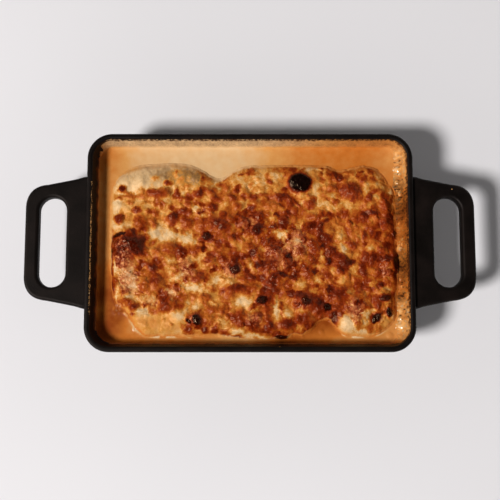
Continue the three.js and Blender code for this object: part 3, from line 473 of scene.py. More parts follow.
def add(
    tree: bpy.types.NodeTree,
    kind: str,
    settings: dict | None = None,
    inputs: dict | tuple = (),
    stops: tuple = (),
) -> bpy.types.Node:
    """Adds a shader node.

    Args:
        tree: The material's node tree.
        kind: The node's type.
        settings: The node's own properties.
        inputs: A value or another node's output for each input, by name or number, or in order.
        stops: Places and hex colours, or places and numbers, of a colour ramp, its ends first.

    Returns:
        The new node.
    """
    node = tree.nodes.new(kind)
    for name, value in (settings or {}).items():
        setattr(node, name, value)
    named = inputs if isinstance(inputs, dict) else dict(enumerate(inputs))
    for name, value in named.items():
        if isinstance(value, bpy.types.NodeSocket):
            tree.links.new(value, node.inputs[name])
        else:
            node.inputs[name].default_value = value
    for k, (place, value) in enumerate(stops):
        elements = node.color_ramp.elements
        element = elements[k] if k < 2 else elements.new(place)
        element.position = place
        element.color = linear(value) if isinstance(value, str) else (value, value, value, 1.0)
    return node


def new_material(name: str) -> tuple[bpy.types.Material, bpy.types.NodeTree]:
    """Starts a material with an empty node tree.

    Args:
        name: The material's name.

    Returns:
        The material and its tree.
    """
    material = bpy.data.materials.new(name)
    material.use_nodes = True
    material.node_tree.nodes.clear()
    return material, material.node_tree


def close_material(tree: bpy.types.NodeTree, shader: bpy.types.Node) -> None:
    """Leads a shader to the material's output."""
    add(tree, "ShaderNodeOutputMaterial", inputs={"Surface": shader.outputs[0]})


def sauce_colour(tree: bpy.types.NodeTree, oil: bpy.types.NodeSocket) -> bpy.types.NodeSocket:
    """The colour of cream sauce, from where the cream has split to where oil floats.

    Args:
        tree: The material's node tree.
        oil: How oily the sauce is, from 0 to 1.

    Returns:
        The colour's output.
    """
    return add(tree, "ShaderNodeValToRGB", inputs=(oil,), stops=(
        (0.0, "#dfb989"), (1.0, "#8f4110"), (0.35, "#d69955"), (0.65, "#c6722b"))).outputs[0]


@dataclass(frozen=True)
class SeasonedCastIron:
    """Sand-cast iron under baked-on oil: near black, satin, with a fine grain that breaks glints."""

    name: str = "seasoned_cast_iron"
    black: str = "#090605"
    worn: str = "#18100d"
    grain: float = 0.7
    grain_depth: float = 0.16
    stain: float = 18.0

    def material(self) -> bpy.types.Material:
        """The finish as a material."""
        material, tree = new_material(self.name)
        place = add(tree, "ShaderNodeTexCoord").outputs["Object"]
        grain = add(tree, "ShaderNodeTexNoise", inputs={
            "Vector": place, "Scale": 1 / (self.grain * MM), "Detail": 3.0, "Roughness": 0.6})
        stain = add(tree, "ShaderNodeTexNoise", inputs={
            "Vector": place, "Scale": 1 / (self.stain * MM), "Detail": 5.0, "Roughness": 0.55})
        share = add(tree, "ShaderNodeValToRGB", inputs=(stain.outputs[0],),
                    stops=((0.42, 0.0), (0.7, 0.6)))
        colour = add(tree, "ShaderNodeMix", MIX_COLOURS, {
            0: share.outputs[0], 6: linear(self.black), 7: linear(self.worn)})
        rough = add(tree, "ShaderNodeMapRange", inputs=(stain.outputs[0], 0.3, 0.7, 0.42, 0.56))
        bump = add(tree, "ShaderNodeBump", inputs={
            "Height": grain.outputs[0], "Distance": self.grain_depth * MM, "Strength": 0.7})
        shader = add(tree, "ShaderNodeBsdfPrincipled", inputs={
            "Base Color": colour.outputs[2], "Roughness": rough.outputs[0],
            "Normal": bump.outputs[0], "Specular IOR Level": 0.12,
            "Specular Tint": (1.0, 0.86, 0.8, 1.0)})
        close_material(tree, shader)
        return material


@dataclass(frozen=True)
class BakedCheese:
    """Melted cheese out of a hot oven: cream where it is thick, orange where oil has soaked in,
    and brown to black where blisters stood up; its oil gives small sharp glints."""

    name: str = "baked_cheese"
    grey: str = "#cfab7c"
    olive: str = "#7d552e"
    # Pink of crackled cheese, lightened: partly the cheese's own colour, partly a painted sheen of fine
    # glints
    rosy_and_sheen: str = "#e2a57c"
    toasts: tuple = (
        (0.0, "#dda555"), (1.0, "#0c0403"), (0.2, "#c98436"), (0.34, "#ae591a"),
        (0.48, "#8b3108"), (0.62, "#661902"), (0.78, "#440c01"), (0.92, "#1d0501"))
    fleck: float = 0.9
    bead: float = 0.8
    bead_depth: float = 0.3

    def colour(
        self,
        tree: bpy.types.NodeTree,
        mask: dict[Mask, bpy.types.NodeSocket],
        fleck: bpy.types.NodeSocket,
        toast: bpy.types.NodeSocket,
    ) -> bpy.types.NodeSocket:
        """The cheese's colour, from pale and grey over orange to charred, and under sauce, with a rosy
        tint on crackled places that is partly a painted sheen.

        Args:
            tree: The material's node tree.
            mask: The output of each mask.
            fleck: Fine noise that breaks every edge.
            toast: How browned the cheese is.

        Returns:
            The colour's output.
        """
        streak = add(tree, "ShaderNodeMapRange", inputs=(fleck, 0.25, 0.75, -0.08, 0.08)).outputs[0]
        soaked = add(tree, "ShaderNodeMath", SUM, (mask[Mask.OIL], streak)).outputs[0]
        # Crackled places are painted rosy: partly the cheese's own pink, partly a painted sheen
        pink_and_sheen = add(tree, "ShaderNodeMapRange",
                   inputs=(mask[Mask.CRACKLE], 0.4, 1.0, 0.0, 0.6)).outputs[0]
        pale = add(tree, "ShaderNodeMix", MIX_COLOURS, {
            0: pink_and_sheen, 6: sauce_colour(tree, soaked), 7: linear(self.rosy_and_sheen)})
        bare = add(tree, "ShaderNodeMapRange", inputs=(mask[Mask.GREY], 0.0, 0.45, 0.0, 0.9))
        dusty = add(tree, "ShaderNodeMath", SUM, (mask[Mask.GREY], streak))
        dull = add(tree, "ShaderNodeMapRange", inputs=(dusty.outputs[0], 0.36, 0.84, 0.0, 1.0))
        pasta = add(tree, "ShaderNodeMix", MIX_COLOURS, {
            0: dull.outputs[0], 6: linear(self.grey), 7: linear(self.olive)})
        pale = add(tree, "ShaderNodeMix", MIX_COLOURS, {
            0: bare.outputs[0], 6: pale.outputs[2], 7: pasta.outputs[2]})
        browned = add(tree, "ShaderNodeValToRGB", inputs=(toast,), stops=self.toasts)
        rosy_sheen_share = add(tree, "ShaderNodeMapRange", inputs=(toast, 0.15, 0.6, pink_and_sheen, 0.0))
        browned = add(tree, "ShaderNodeMix", MIX_COLOURS, {
            0: rosy_sheen_share.outputs[0], 6: browned.outputs[0], 7: linear(self.rosy_and_sheen)})
        share = add(tree, "ShaderNodeMapRange", EASED, (toast, 0.0, 0.24, 0.0, 1.0))
        dry = add(tree, "ShaderNodeMix", MIX_COLOURS, {
            0: share.outputs[0], 6: pale.outputs[2], 7: browned.outputs[2]})
        drowned = add(tree, "ShaderNodeMapRange", EASED, (mask[Mask.WET], 0.1, 0.8, 0.0, 0.96))
        return add(tree, "ShaderNodeMix", MIX_COLOURS, {
            0: drowned.outputs[0], 6: dry.outputs[2], 7: sauce_colour(tree, soaked)}).outputs[2]

    def material(self) -> bpy.types.Material:
        """The finish as a material."""
        material, tree = new_material(self.name)
        mask = {which: add(tree, "ShaderNodeAttribute", {"attribute_name": which.value}).outputs[2]
                for which in Mask}
        place = add(tree, "ShaderNodeTexCoord").outputs["Object"]
        fleck = add(tree, "ShaderNodeTexNoise", inputs={
            "Vector": place, "Scale": 1 / (self.fleck * MM), "Detail": 2.0, "Roughness": 0.6})
        lift = add(tree, "ShaderNodeMapRange", inputs=(fleck.outputs[0], 0.25, 0.75, -0.07, 0.07))
        toast = add(tree, "ShaderNodeMath", SUM, (mask[Mask.BROWNING], lift.outputs[0])).outputs[0]
        bead = add(tree, "ShaderNodeTexNoise", inputs={
            "Vector": place, "Scale": 1 / (self.bead * MM), "Detail": 1.0, "Roughness": 0.5})
        lively = add(tree, "ShaderNodeMapRange", inputs=(mask[Mask.CRACKLE], 0.0, 0.8, 0.3, 1.0))
        calm = add(tree, "ShaderNodeMapRange",
                   inputs=(mask[Mask.WET], 0.0, 0.8, lively.outputs[0], 0.1))
        cracked = add(tree, "ShaderNodeMapRange", inputs=(toast, 0.65, 0.85, calm.outputs[0], 1.0))
        oily = add(tree, "ShaderNodeBump", inputs={
            "Height": bead.outputs[0], "Distance": self.bead_depth * MM,
            "Strength": cracked.outputs[0]})
        film = add(tree, "ShaderNodeMapRange", inputs=(mask[Mask.WET], 0.0, 1.0, 0.0, 0.2))
        gloss = add(tree, "ShaderNodeMapRange", inputs=(mask[Mask.CRACKLE], 0.0, 1.0, 0.4, 0.18))
        rough = add(tree, "ShaderNodeMapRange", inputs=(toast, 0.7, 0.85, gloss.outputs[0], 0.2))
        shader = add(tree, "ShaderNodeBsdfPrincipled", inputs={
            "Base Color": self.colour(tree, mask, fleck.outputs[0], toast),
            "Roughness": rough.outputs[0], "Normal": oily.outputs[0],
            "Specular IOR Level": 0.28, "Specular Tint": (1.0, 0.62, 0.38, 1.0),
            "Coat Weight": film.outputs[0], "Coat Roughness": 0.06})
        close_material(tree, shader)
        return material


@dataclass(frozen=True)
class CreamSauce:
    """Cream and tomato sauce that has simmered: smooth and glossy, paler where the cream has
    split and orange where oil floats on it."""

    name: str = "cream_sauce"
    droplet: float = 5.0

    def material(self) -> bpy.types.Material:
        """The finish as a material."""
        material, tree = new_material(self.name)
        oil = add(tree, "ShaderNodeAttribute", {"attribute_name": Mask.OIL.value}).outputs[2]
        place = add(tree, "ShaderNodeTexCoord").outputs["Object"]
        streak = add(tree, "ShaderNodeTexNoise", inputs={
            "Vector": place, "Scale": 1 / (self.droplet * MM), "Detail": 3.0, "Roughness": 0.5})
        shift = add(tree, "ShaderNodeMapRange",
                    inputs=(streak.outputs[0], 0.25, 0.75, -0.07, 0.07))
        share = add(tree, "ShaderNodeMath", SUM, (oil, shift.outputs[0])).outputs[0]
        shader = add(tree, "ShaderNodeBsdfPrincipled", inputs={
            "Base Color": sauce_colour(tree, share), "Roughness": 0.24, "IOR": 1.42,
            "Coat Weight": 0.3, "Coat Roughness": 0.08})
        close_material(tree, shader)
        return material


@dataclass(frozen=True)
class DriedSauce:
    """Sauce that has boiled up and dried on hot iron: dull cream with brown specks."""

    name: str = "dried_sauce"
    brown: str = "#3a1a08"
    speck: float = 0.8
    speck_depth: float = 0.15

    def material(self) -> bpy.types.Material:
        """The finish as a material."""
        material, tree = new_material(self.name)
        oil, toast = (
            add(tree, "ShaderNodeAttribute", {"attribute_name": which.value}).outputs[2]
            for which in (Mask.OIL, Mask.BROWNING))
        place = add(tree, "ShaderNodeTexCoord").outputs["Object"]
        speck = add(tree, "ShaderNodeTexNoise", inputs={
            "Vector": place, "Scale": 1 / (self.speck * MM), "Detail": 3.0, "Roughness": 0.65})
        lift = add(tree, "ShaderNodeMapRange", inputs=(speck.outputs[0], 0.3, 0.7, -0.15, 0.15))
        share = add(tree, "ShaderNodeMath", SUM | {"use_clamp": True}, (toast, lift.outputs[0]))
        colour = add(tree, "ShaderNodeMix", MIX_COLOURS, {
            0: share.outputs[0], 6: sauce_colour(tree, oil), 7: linear(self.brown)})
        bump = add(tree, "ShaderNodeBump", inputs={
            "Height": speck.outputs[0], "Distance": self.speck_depth * MM, "Strength": 0.6})
        glaze = add(tree, "ShaderNodeMapRange", inputs=(share.outputs[0], 0.25, 0.6, 0.4, 0.0))
        shader = add(tree, "ShaderNodeBsdfPrincipled", inputs={
            "Base Color": colour.outputs[2], "Roughness": 0.45, "Normal": bump.outputs[0],
            "Specular IOR Level": 0.1, "Specular Tint": (1.0, 0.7, 0.45, 1.0),
            "Coat Weight": glaze.outputs[0], "Coat Roughness": 0.1})
        close_material(tree, shader)
        return material


@dataclass(frozen=True)
class PaintedFloor:
    """A studio table painted pale grey: plain and dull, so that only the shadow shows."""

    name: str = "painted_floor"
    white: str = "#e3e1e4"
    cloudy: str = "#dedcdf"
    cloud: float = 400.0

    def material(self) -> bpy.types.Material:
        """The finish as a material."""
        material, tree = new_material(self.name)
        place = add(tree, "ShaderNodeTexCoord").outputs["Object"]
        cloud = add(tree, "ShaderNodeTexNoise", inputs={
            "Vector": place, "Scale": 1 / (self.cloud * MM), "Detail": 2.0})
        colour = add(tree, "ShaderNodeValToRGB", inputs=(cloud.outputs[0],),
                     stops=((0.3, self.cloudy), (0.7, self.white)))
        shader = add(tree, "ShaderNodeBsdfPrincipled", inputs={
            "Base Color": colour.outputs[0], "Roughness": 0.9})
        close_material(tree, shader)
        return material


def new_piece(
    name: str,
    points: np.ndarray,
    faces: list,
    material: bpy.types.Material,
    masks: dict[Mask, np.ndarray] | None = None,
) -> bpy.types.Object:
    """Makes a mesh object in the row frame.

    Args:
        name: The piece's name.
        points: Its vertices in millimetres.
        faces: Its faces, as lists of vertex numbers.
        material: Its material.
        masks: What the material reads at each vertex.

    Returns:
        The object, linked to the scene.
    """
    mesh = bpy.data.meshes.new(name)
    mesh.from_pydata((points * MM).tolist(), [], faces)
    for which, values in (masks or {}).items():
        layer = mesh.attributes.new(which.value, "FLOAT", "POINT")
        layer.data.foreach_set("value", np.ascontiguousarray(values, dtype=np.float32))
    mesh.polygons.foreach_set("use_smooth", [True] * len(mesh.polygons))
    mesh.materials.append(material)
    mesh.validate()
    piece = bpy.data.objects.new(name, mesh)
    bpy.context.scene.collection.objects.link(piece)
    return piece


def tube_faces(rows: int, columns: int, close_rows: bool, close_columns: bool) -> list[list[int]]:
    """The quads of a grid of points, row by row.

    Args:
        rows: How many rows of points there are.
        columns: How many points a row has.
        close_rows: Whether the last row joins the first.
        close_columns: Whether the last point of a row joins the first.

    Returns:
        The quads, which face along rows cross columns.
    """
    i = np.arange(rows if close_rows else rows - 1)[:, None]
    j = np.arange(columns if close_columns else columns - 1)[None, :]
    after_i, after_j = (i + 1) % rows, (j + 1) % columns
    corners = (i * columns + j, after_i * columns + j, after_i * columns + after_j,
               i * columns + after_j)
    return np.stack([np.broadcast_to(c, (i.size, j.size)).ravel() for c in corners], 1).tolist()


@dataclass(frozen=True)
class CastIronDish:
    """The dish: one casting with drafted walls, a rounded rim and a slotted loop at each end."""

    half_length: float = 112.0
    half_width: float = 75.0
    height: float = 42.0
    floor: float = 5.0
    wall: float = 4.0
    draft: float = 0.23
    corner: float = 17.0
    least_corner: float = 7.0
    rim_round: float = 1.5
    base_round: float = 4.0
    floor_fillet: float = 6.0
    handle_reach: float = 154.3
    handle_root: float = 108.0
    handle_neck: float = 116.0
    handle_flare: float = 4.0
    handle_top: float = 39.0
    handle_thickness: float = 9.0
    handle_outer_half: float = 40.0
    handle_root_half: float = 44.0
    handle_corner: float = 13.0
    handle_round: float = 2.0
    slot_near: float = 126.0
    slot_far: float = 145.0
    slot_half_length: float = 31.0
    root_bend: float = 12.0
    bend_steps: int = 14
    corner_steps: int = 20
    round_steps: int = 6
    around: int = 360
    sharp_angle: float = 35.0

    def wall_inset(self, z: float) -> float:
        """How far the outside of the wall stands in from the rim's edge at height z."""
        return max(self.height - self.rim_round - z, 0.0) * self.draft

    def ring(self, inset: float, spacing: float = 0.0) -> tuple[np.ndarray, np.ndarray]:
        """The dish's outline, drawn in from the rim's edge.

        Args:
            inset: How far it is drawn in.
            spacing: The step along the straight sides at the rim, or 0 for none.

        Returns:
            Points anticlockwise from the right side's far end, and the way out at each one.
        """
        radius = max(self.corner - inset, self.least_corner)
        x = self.half_length - inset - radius
        y = self.half_width - inset - radius
        sides = (self.half_length, self.half_width) * 2
        points, ways = [], []
        for k, (cx, cy) in enumerate(((x, y), (-x, y), (-x, -y), (x, -y))):
            turns = (k + np.linspace(0, 1, self.corner_steps + 1)) * math.pi / 2
            way = np.stack([np.cos(turns), np.sin(turns)], 1)
            points.append(np.array([cx, cy]) + radius * way)
            ways.append(way)
            if spacing:
                steps = int(2 * sides[k] / spacing)
                share = (np.arange(1, steps) / steps)[:, None]
                ends = ((-x, y), (-x, -y), (x, -y), (x, y))[k]
                end = np.array(ends) + radius * way[-1]
                points.append(points[-1][-1] * (1 - share) + end * share)
                ways.append(np.repeat(way[-1:], steps - 1, 0))
        return np.concatenate(points), np.concatenate(ways)

    def profile(self) -> list[tuple[float, float]]:
        """The wall's section from the base's edge, over the rim, to the floor inside.

        Returns:
            Insets and heights, in order.
        """
        turns = np.linspace(0, math.pi / 2, self.round_steps + 1)
        section = []
        for turn in turns:
            z = self.base_round * (1 - math.cos(turn))
            section.append((self.wall_inset(z) + self.base_round * (1 - math.sin(turn)), z))
        section.insert(0, (section[0][0] + 0.5, 0.0))
        section.append((self.wall_inset(self.base_round + 0.5), self.base_round + 0.5))
        rim_foot = self.height - self.rim_round
        section.append((self.wall_inset(rim_foot - 0.4), rim_foot - 0.4))
        for turn in turns:
            z = rim_foot + self.rim_round * math.sin(turn)
            section.append((self.rim_round * (1 - math.cos(turn)), z))
        for turn in turns[::-1]:
            z = rim_foot + self.rim_round * math.sin(turn)
            section.append((self.wall - self.rim_round * (1 - math.cos(turn)), z))
        section.append((self.wall_inset(rim_foot - 0.4) + self.wall, rim_foot - 0.4))
        for turn in turns[::-1]:
            z = self.floor + self.floor_fillet * (1 - math.cos(turn))
            inset = self.wall_inset(z) + self.wall + self.floor_fillet * (1 - math.sin(turn))
            section.append((inset, z))
        section.append((section[-1][0] + 0.5, self.floor))
        return section

    def pan(self, material: bpy.types.Material) -> bpy.types.Object:
        """The casting without its handles.

        Args:
            material: The iron.

        Returns:
            A closed piece.
        """
        rows = []
        for inset, z in self.profile():
            flat, _ = self.ring(inset)
            rows.append(np.column_stack([flat, np.full(len(flat), z)]))
        count = len(rows[0])
        faces = [face[::-1] for face in tube_faces(len(rows), count, False, True)]
        faces.append(list(range(count))[::-1])
        top = (len(rows) - 1) * count
        faces.append(list(range(top, top + count)))
        return new_piece("pan", np.concatenate(rows), faces, material)

    def handle_outline(self) -> np.ndarray:
        """The outer outline of the handle on the right, before its edges are rounded.

        Returns:
            Points anticlockwise from its near root.
        """
        root = self.handle_root_half
        outer = self.handle_outer_half
        reach, corner = self.handle_reach, self.handle_corner + self.handle_round
        neck, flare = self.handle_neck, self.handle_flare

        def bend(a: tuple, b: tuple, c: tuple) -> np.ndarray:
            """A curve from a to c that heads for b."""
            t = np.linspace(0, 1, self.bend_steps)[:, None]
            return (1 - t) ** 2 * np.array(a) + 2 * t * (1 - t) * np.array(b) + t ** 2 * np.array(c)

        start = (self.handle_root, -root - flare)
        half = np.concatenate([
            bend((start[0], start[1] + self.root_bend), start, (neck, -root - 1)),
            bend((neck, -root - 1), (neck + 2.5, -root - 0.1), (neck + 6, -root + 0.6)),
            bend((reach - corner, -outer), (reach - 1, -outer + 1), (reach, -outer + corner)),
        ])
        return np.concatenate([half, half[::-1] * (1, -1)])

    def handle(self, side: int, material: bpy.types.Material) -> bpy.types.Object:
        """One loop handle: a plate with round edges round a slot for the fingers.

        Args:
            side: 1 on the right, -1 on the left.
            material: The iron.

        Returns:
            A closed piece that reaches into the wall.
        """
        slot_radius = (self.slot_far - self.slot_near) / 2
        middle = (self.slot_far + self.slot_near) / 2
        slot_end = self.slot_half_length - slot_radius
        turns = np.linspace(-math.pi, math.pi, self.around, endpoint=False)
        way = np.stack([np.cos(turns), np.sin(turns)], 1)
        outline = self.handle_outline() - (middle, 0)
        a, b = outline, np.roll(outline, -1, 0)
        edge = b - a
        turn = way[:, None, 0] * edge[None, :, 1] - way[:, None, 1] * edge[None, :, 0]
        turn = np.where(np.abs(turn) < 1e-9, 1e-9, turn)
        along = (a[:, 0] * edge[:, 1] - a[:, 1] * edge[:, 0])[None] / turn
        share = (a[None, :, 0] * way[:, None, 1] - a[None, :, 1] * way[:, None, 0]) / turn
        hit = np.where((along > 0) & (share >= -1e-9) & (share <= 1 + 1e-9), along, 1e9)
        outer = way * hit.min(1)[:, None]
        straight = slot_radius / np.maximum(np.abs(way[:, 0]), 1e-9)
        tip = np.abs(way[:, 1]) * slot_end
        round_end = tip + np.sqrt(np.maximum(slot_radius ** 2 - (way[:, 0] * slot_end) ** 2, 0))
        on_side = straight * np.abs(way[:, 1]) <= slot_end
        inner = way * np.where(on_side, straight, round_end)[:, None]

        def outward(ring: np.ndarray) -> np.ndarray:
            """The way out of an anticlockwise ring at each point."""
            tangent = np.roll(ring, -1, 0) - np.roll(ring, 1, 0)
            normal = np.stack([tangent[:, 1], -tangent[:, 0]], 1)
            return normal / np.linalg.norm(normal, axis=1)[:, None]

        out, into = outward(outer), outward(inner)
        bottom, top, r = self.handle_top - self.handle_thickness, self.handle_top, self.handle_round
        quarter = np.linspace(0, math.pi / 2, self.round_steps)
        loop = []
        for turn in quarter:
            loop.append((outer - out * r * (1 - math.sin(turn)), bottom + r * (1 - math.cos(turn))))
        for turn in quarter[::-1]:
            loop.append((outer - out * r * (1 - math.sin(turn)), top - r * (1 - math.cos(turn))))
        loop.append((outer - out * (r + 0.4), top))
        loop.append((inner + into * (r + 0.4), top))
        for turn in quarter:
            loop.append((inner + into * r * (1 - math.sin(turn)), top - r * (1 - math.cos(turn))))
        for turn in quarter[::-1]:
            loop.append((inner + into * r * (1 - math.sin(turn)), bottom + r * (1 - math.cos(turn))))
        loop.append((inner + into * (r + 0.4), bottom))
        loop.append((outer - out * (r + 0.4), bottom))
        rows = [np.column_stack([ring[:, 0] + middle, ring[:, 1], np.full(self.around, z)])
                for ring, z in loop]
        points = np.concatenate(rows) * (side, side, 1)
        faces = [face[::-1] for face in tube_faces(len(rows), self.around, True, True)]
        return new_piece("handle", points, faces, material)

    def build(self) -> bpy.types.Object:
        """Joins the pan and its handles into one casting.

        Returns:
            The dish, in place of its CAD node.
        """
        material = SeasonedCastIron().material()
        casting = self.pan(material)
        for side in (1, -1):
            handle = self.handle(side, material)
            union = casting.modifiers.new("union", "BOOLEAN")
            union.operation = "UNION"
            union.solver = "MANIFOLD"
            union.object = handle
            joined = bpy.data.meshes.new_from_object(
                casting.evaluated_get(bpy.context.evaluated_depsgraph_get()))
            casting.modifiers.clear()
            casting.data = joined
            bpy.data.objects.remove(handle)
        casting.name = "cast_iron_dish"
        casting.data.polygons.foreach_set("use_smooth", [True] * len(casting.data.polygons))
        casting.data.set_sharp_from_angle(angle=math.radians(self.sharp_angle))
        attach(casting, "root")
        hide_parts("dish")
        return casting


@dataclass(frozen=True)
class LasagnaSlab:
    """The slab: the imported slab's own form under a crust of blisters, bubbles and creases."""

    columns: int = 400
    rows: int = 234
    end_crowding: float = 0.3
    edge_level: float = 29.6
    skirt_steps: int = 4
    skirt_width: float = 0.7
    skirt_drop: float = 1.5
    foot_scale: float = 0.82
    foot_level: float = 5.35
    middle_x: float = 3.0
    highest: float = 41.0
    reach: float = 90.0
    smoothings: int = 24
    calm_edge: float = 6.0
    shoulder: float = 1.4
    shoulder_width: float = 12.0
    blister_level: float = 35.8
    blister_rise: float = 0.4
    mottle: float = 3.2
    cloud: float = 8.0
    blotch: float = 5.8
    bubble: float = 4.6
    fold: float = 3.6
    grain: float = 1.7

    def solid(self) -> BVHTree:
        """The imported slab, ready for rays, in metres."""
        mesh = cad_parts["lasagna"].data
        corners = [vertex.co for vertex in mesh.vertices]
        return BVHTree.FromPolygons(corners, [face.vertices for face in mesh.polygons])

    def outline(self) -> tuple[np.ndarray, np.ndarray, np.ndarray]:
        """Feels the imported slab's long sides with level rays.

        Returns:
            The x of each column and its near and far edge.
        """
        tree = self.solid()
        low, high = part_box("lasagna")
        even = np.linspace(-1, 1, self.columns)
        crowded = (1 - self.end_crowding) * even + self.end_crowding * np.sin(even * math.pi / 2)
        middle, half = (high.x + low.x) / 2 / MM, (high.x - low.x) / 2 / MM - 0.05
        xs = middle + half * crowded
        level = (self.edge_level - 0.05) * MM
        near, far = [], []
        for x in xs:
            hit = tree.ray_cast(Vector((x * MM, -self.reach * MM, level)), Vector((0, 1, 0)))[0]
            near.append(hit.y / MM)
            hit = tree.ray_cast(Vector((x * MM, self.reach * MM, level)), Vector((0, -1, 0)))[0]
            far.append(hit.y / MM)
        return xs, np.array(near), np.array(far)

    def packed_height(self, x: np.ndarray, y: np.ndarray) -> np.ndarray:
        """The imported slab's height under each place, with its facets smoothed out.

        Args:
            x: A grid of places along the dish.
            y: The same grid's places across it.

        Returns:
            The heights.
        """
        tree = self.solid()
        down = Vector((0, 0, -1))
        flat = np.full(x.size, self.edge_level)
        for k, (px, py) in enumerate(zip(x.ravel() * MM, y.ravel() * MM)):
            hit = tree.ray_cast(Vector((px, py, self.reach * MM)), down)[0]
            if hit is not None:
                flat[k] = max(hit.z / MM, self.edge_level)
        height = flat.reshape(x.shape)
        for _ in range(self.smoothings):
            inner = height[1:-1, 1:-1]
            around = height[:-2, 1:-1] + height[2:, 1:-1] + height[1:-1, :-2] + height[1:-1, 2:]
            height[1:-1, 1:-1] = inner / 2 + around / 8
        return height

    def swirled(self, x: np.ndarray, y: np.ndarray) -> tuple[np.ndarray, np.ndarray]:
        """Swirls places a little, so that nothing on the crust keeps a plain outline."""
        return (
            x + 1.4 * ripples(x, y, 6.0, 3, 11) + 0.5 * ripple(x, y, 1.9, 14),
            y + 1.4 * ripples(x, y, 6.0, 3, 21) + 0.5 * ripple(x, y, 1.9, 24),
        )

    def mottled(self, x: np.ndarray, y: np.ndarray) -> np.ndarray:
        """A fine mottle that runs every edge in and out."""
        return ripples(x, y, self.mottle, 3, 31)

    def toasted(self, x: np.ndarray, y: np.ndarray) -> np.ndarray:
        """How far the oven has browned each place.

        Args:
            x: Places along the dish.
            y: Places across the dish.

        Returns:
            0 where the cheese is pale, 1 where it is charred.
        """
        wx, wy = self.swirled(x, y)
        mottle = self.mottled(x, y)
        clouds = ripples(wx, wy, self.cloud, 3, 35)
        crackle = union(wx, wy, CRACKLED, 0.0, 0.8)
        first, second, number = Cells(self.blotch, 5).nearest(wx, wy)
        seam = smooth(second - first, 0.4, 0.0)
        blotch = 0.5 * (number - 0.42) * smooth(first, 0.9, 0.1) - 0.07 * seam
        grain_first, grain_second, grain = Cells(self.grain, 8).nearest(wx, wy)
        net = smooth(grain_second - grain_first, 0.0, 0.4)

        browning = spread(x, y, LEVELS)
        amount = smooth(browning, -0.05, 0.3)
        browning = browning + amount * (0.02 + 0.2 * clouds + blotch)
        for place in PALE:
            share = place[5] * nearness(wx, wy, place, 0.3 * mottle, 1.0)
            browning += (0.03 - browning) * share
        for place in BROWNED:
            share = nearness(wx, wy, place, 0.25 * mottle, 0.9)
            browning += np.maximum(0.94 * place[5] - browning, 0) * share
        browning += 0.1 * mottle * smooth(browning, -0.1, 0.2)
        browning += crackle * (0.5 * (grain - 0.5) * net - 0.1 * smooth(grain_first, 0.5, 0.1))
        half_x, half_y = x + 0.5 * (wx - x), y + 0.5 * (wy - y)
        for place in CHARRED:
            share = nearness(half_x, half_y, place, 0.08 * mottle, 0.25)
            browning += np.maximum(place[5] - browning, 0) * share
        return browning

    def masks(
        self, x: np.ndarray, y: np.ndarray, z: np.ndarray, pool: "SaucePool"
    ) -> dict[Mask, np.ndarray]:
        """Works out how the crust is coloured.

        Args:
            x: Places along the dish.
            y: Places across the dish.
            z: The crust's height there.
            pool: The sauce, which soaks the crust near its level.

        Returns:
            Each mask's value at each place.
        """
        wx, wy = self.swirled(x, y)
        mottle = self.mottled(x, y)
        wet = smooth(z + 0.8 * ripples(wx, wy, 5.0, 3, 35), pool.level + 2.6, pool.level + 0.3)
        browning = self.toasted(x, y)
        grey = union(wx, wy, GREY, 0.2 * mottle, 0.6)
        grey *= 1 + 0.1 * mottle + 0.2 * ripples(x, y, 1.8, 2, 44)
        oil = 0.14 + 0.6 * union(wx, wy, OILY, 0.0, 0.7) + 0.24 * ripples(x, y, 9.0, 3, 41)
        oil -= 0.3 * union(wx, wy, PALE, 0.0, 0.9)
        oil += (spread(x, y, pool.tints) - oil) * wet
        return {
            Mask.BROWNING: np.clip(browning, 0, 1),
            Mask.GREY: np.clip(grey * (1 - wet), 0, 1),
            Mask.OIL: np.clip(oil, 0, 1),
            Mask.WET: np.clip(wet, 0, 1),
            Mask.CRACKLE: union(wx, wy, CRACKLED, 0.3 * mottle, 0.9),
        }

    def relief(self, x: np.ndarray, y: np.ndarray) -> np.ndarray:
        """The crust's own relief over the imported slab's form.

        Args:
            x: Places along the dish.
            y: Places across the dish.

        Returns:
            Heights to add.
        """
        wx, wy = self.swirled(x, y)
        crackle = union(wx, wy, CRACKLED, 0.0, 0.8)
        height = np.full_like(x, -0.7)
        for place in BROWNED + CHARRED[1:]:
            height += 0.6 * min(place[2], place[3]) ** 0.8 * nearness(wx, wy, place, 0.0, 0.9)
        for place in PALE:
            height += 0.3 * min(place[2], place[3]) ** 0.8 * nearness(wx, wy, place, 0.0, 0.9)
        height = 3.0 * np.tanh(height / 3.0)
        for place in SWELLS:
            height += place[5] * nearness(x, y, place, 0.0, 1.0)
        first, second, number = Cells(self.bubble, 55).nearest(wx, wy)
        bubbles = number * np.clip(1 - (first / 0.74) ** 2, 0, 1) ** 1.4
        creases = smooth(second - first, 0.35, 0.0)
        soft_first, _, soft_number = Cells(self.fold, 57).nearest(wx, wy)
        folds = soft_number * np.clip(1 - soft_first ** 2, 0, 1) ** 2
        grain_first, _, grain = Cells(self.grain, 8).nearest(wx, wy)
        fine = (0.3 + 0.7 * grain) * np.clip(1 - (grain_first / 0.7) ** 2, 0, 1)
        rough = smooth(self.toasted(x, y), 0.08, 0.42)
        bare = union(wx, wy, GREY, 0.0, 0.6)
        height += 0.8 * ripples(x, y, 13.0, 2, 60) + 0.5 * ripples(x, y, 6.0, 2, 61)
        height += 0.7 * folds * (1 - 0.8 * bare) + 0.35 * bare * ripples(x, y, 2.2, 2, 44)
        height += rough * (1.2 * bubbles - 0.15 * creases + (0.14 + 0.4 * crackle) * fine)
        return height

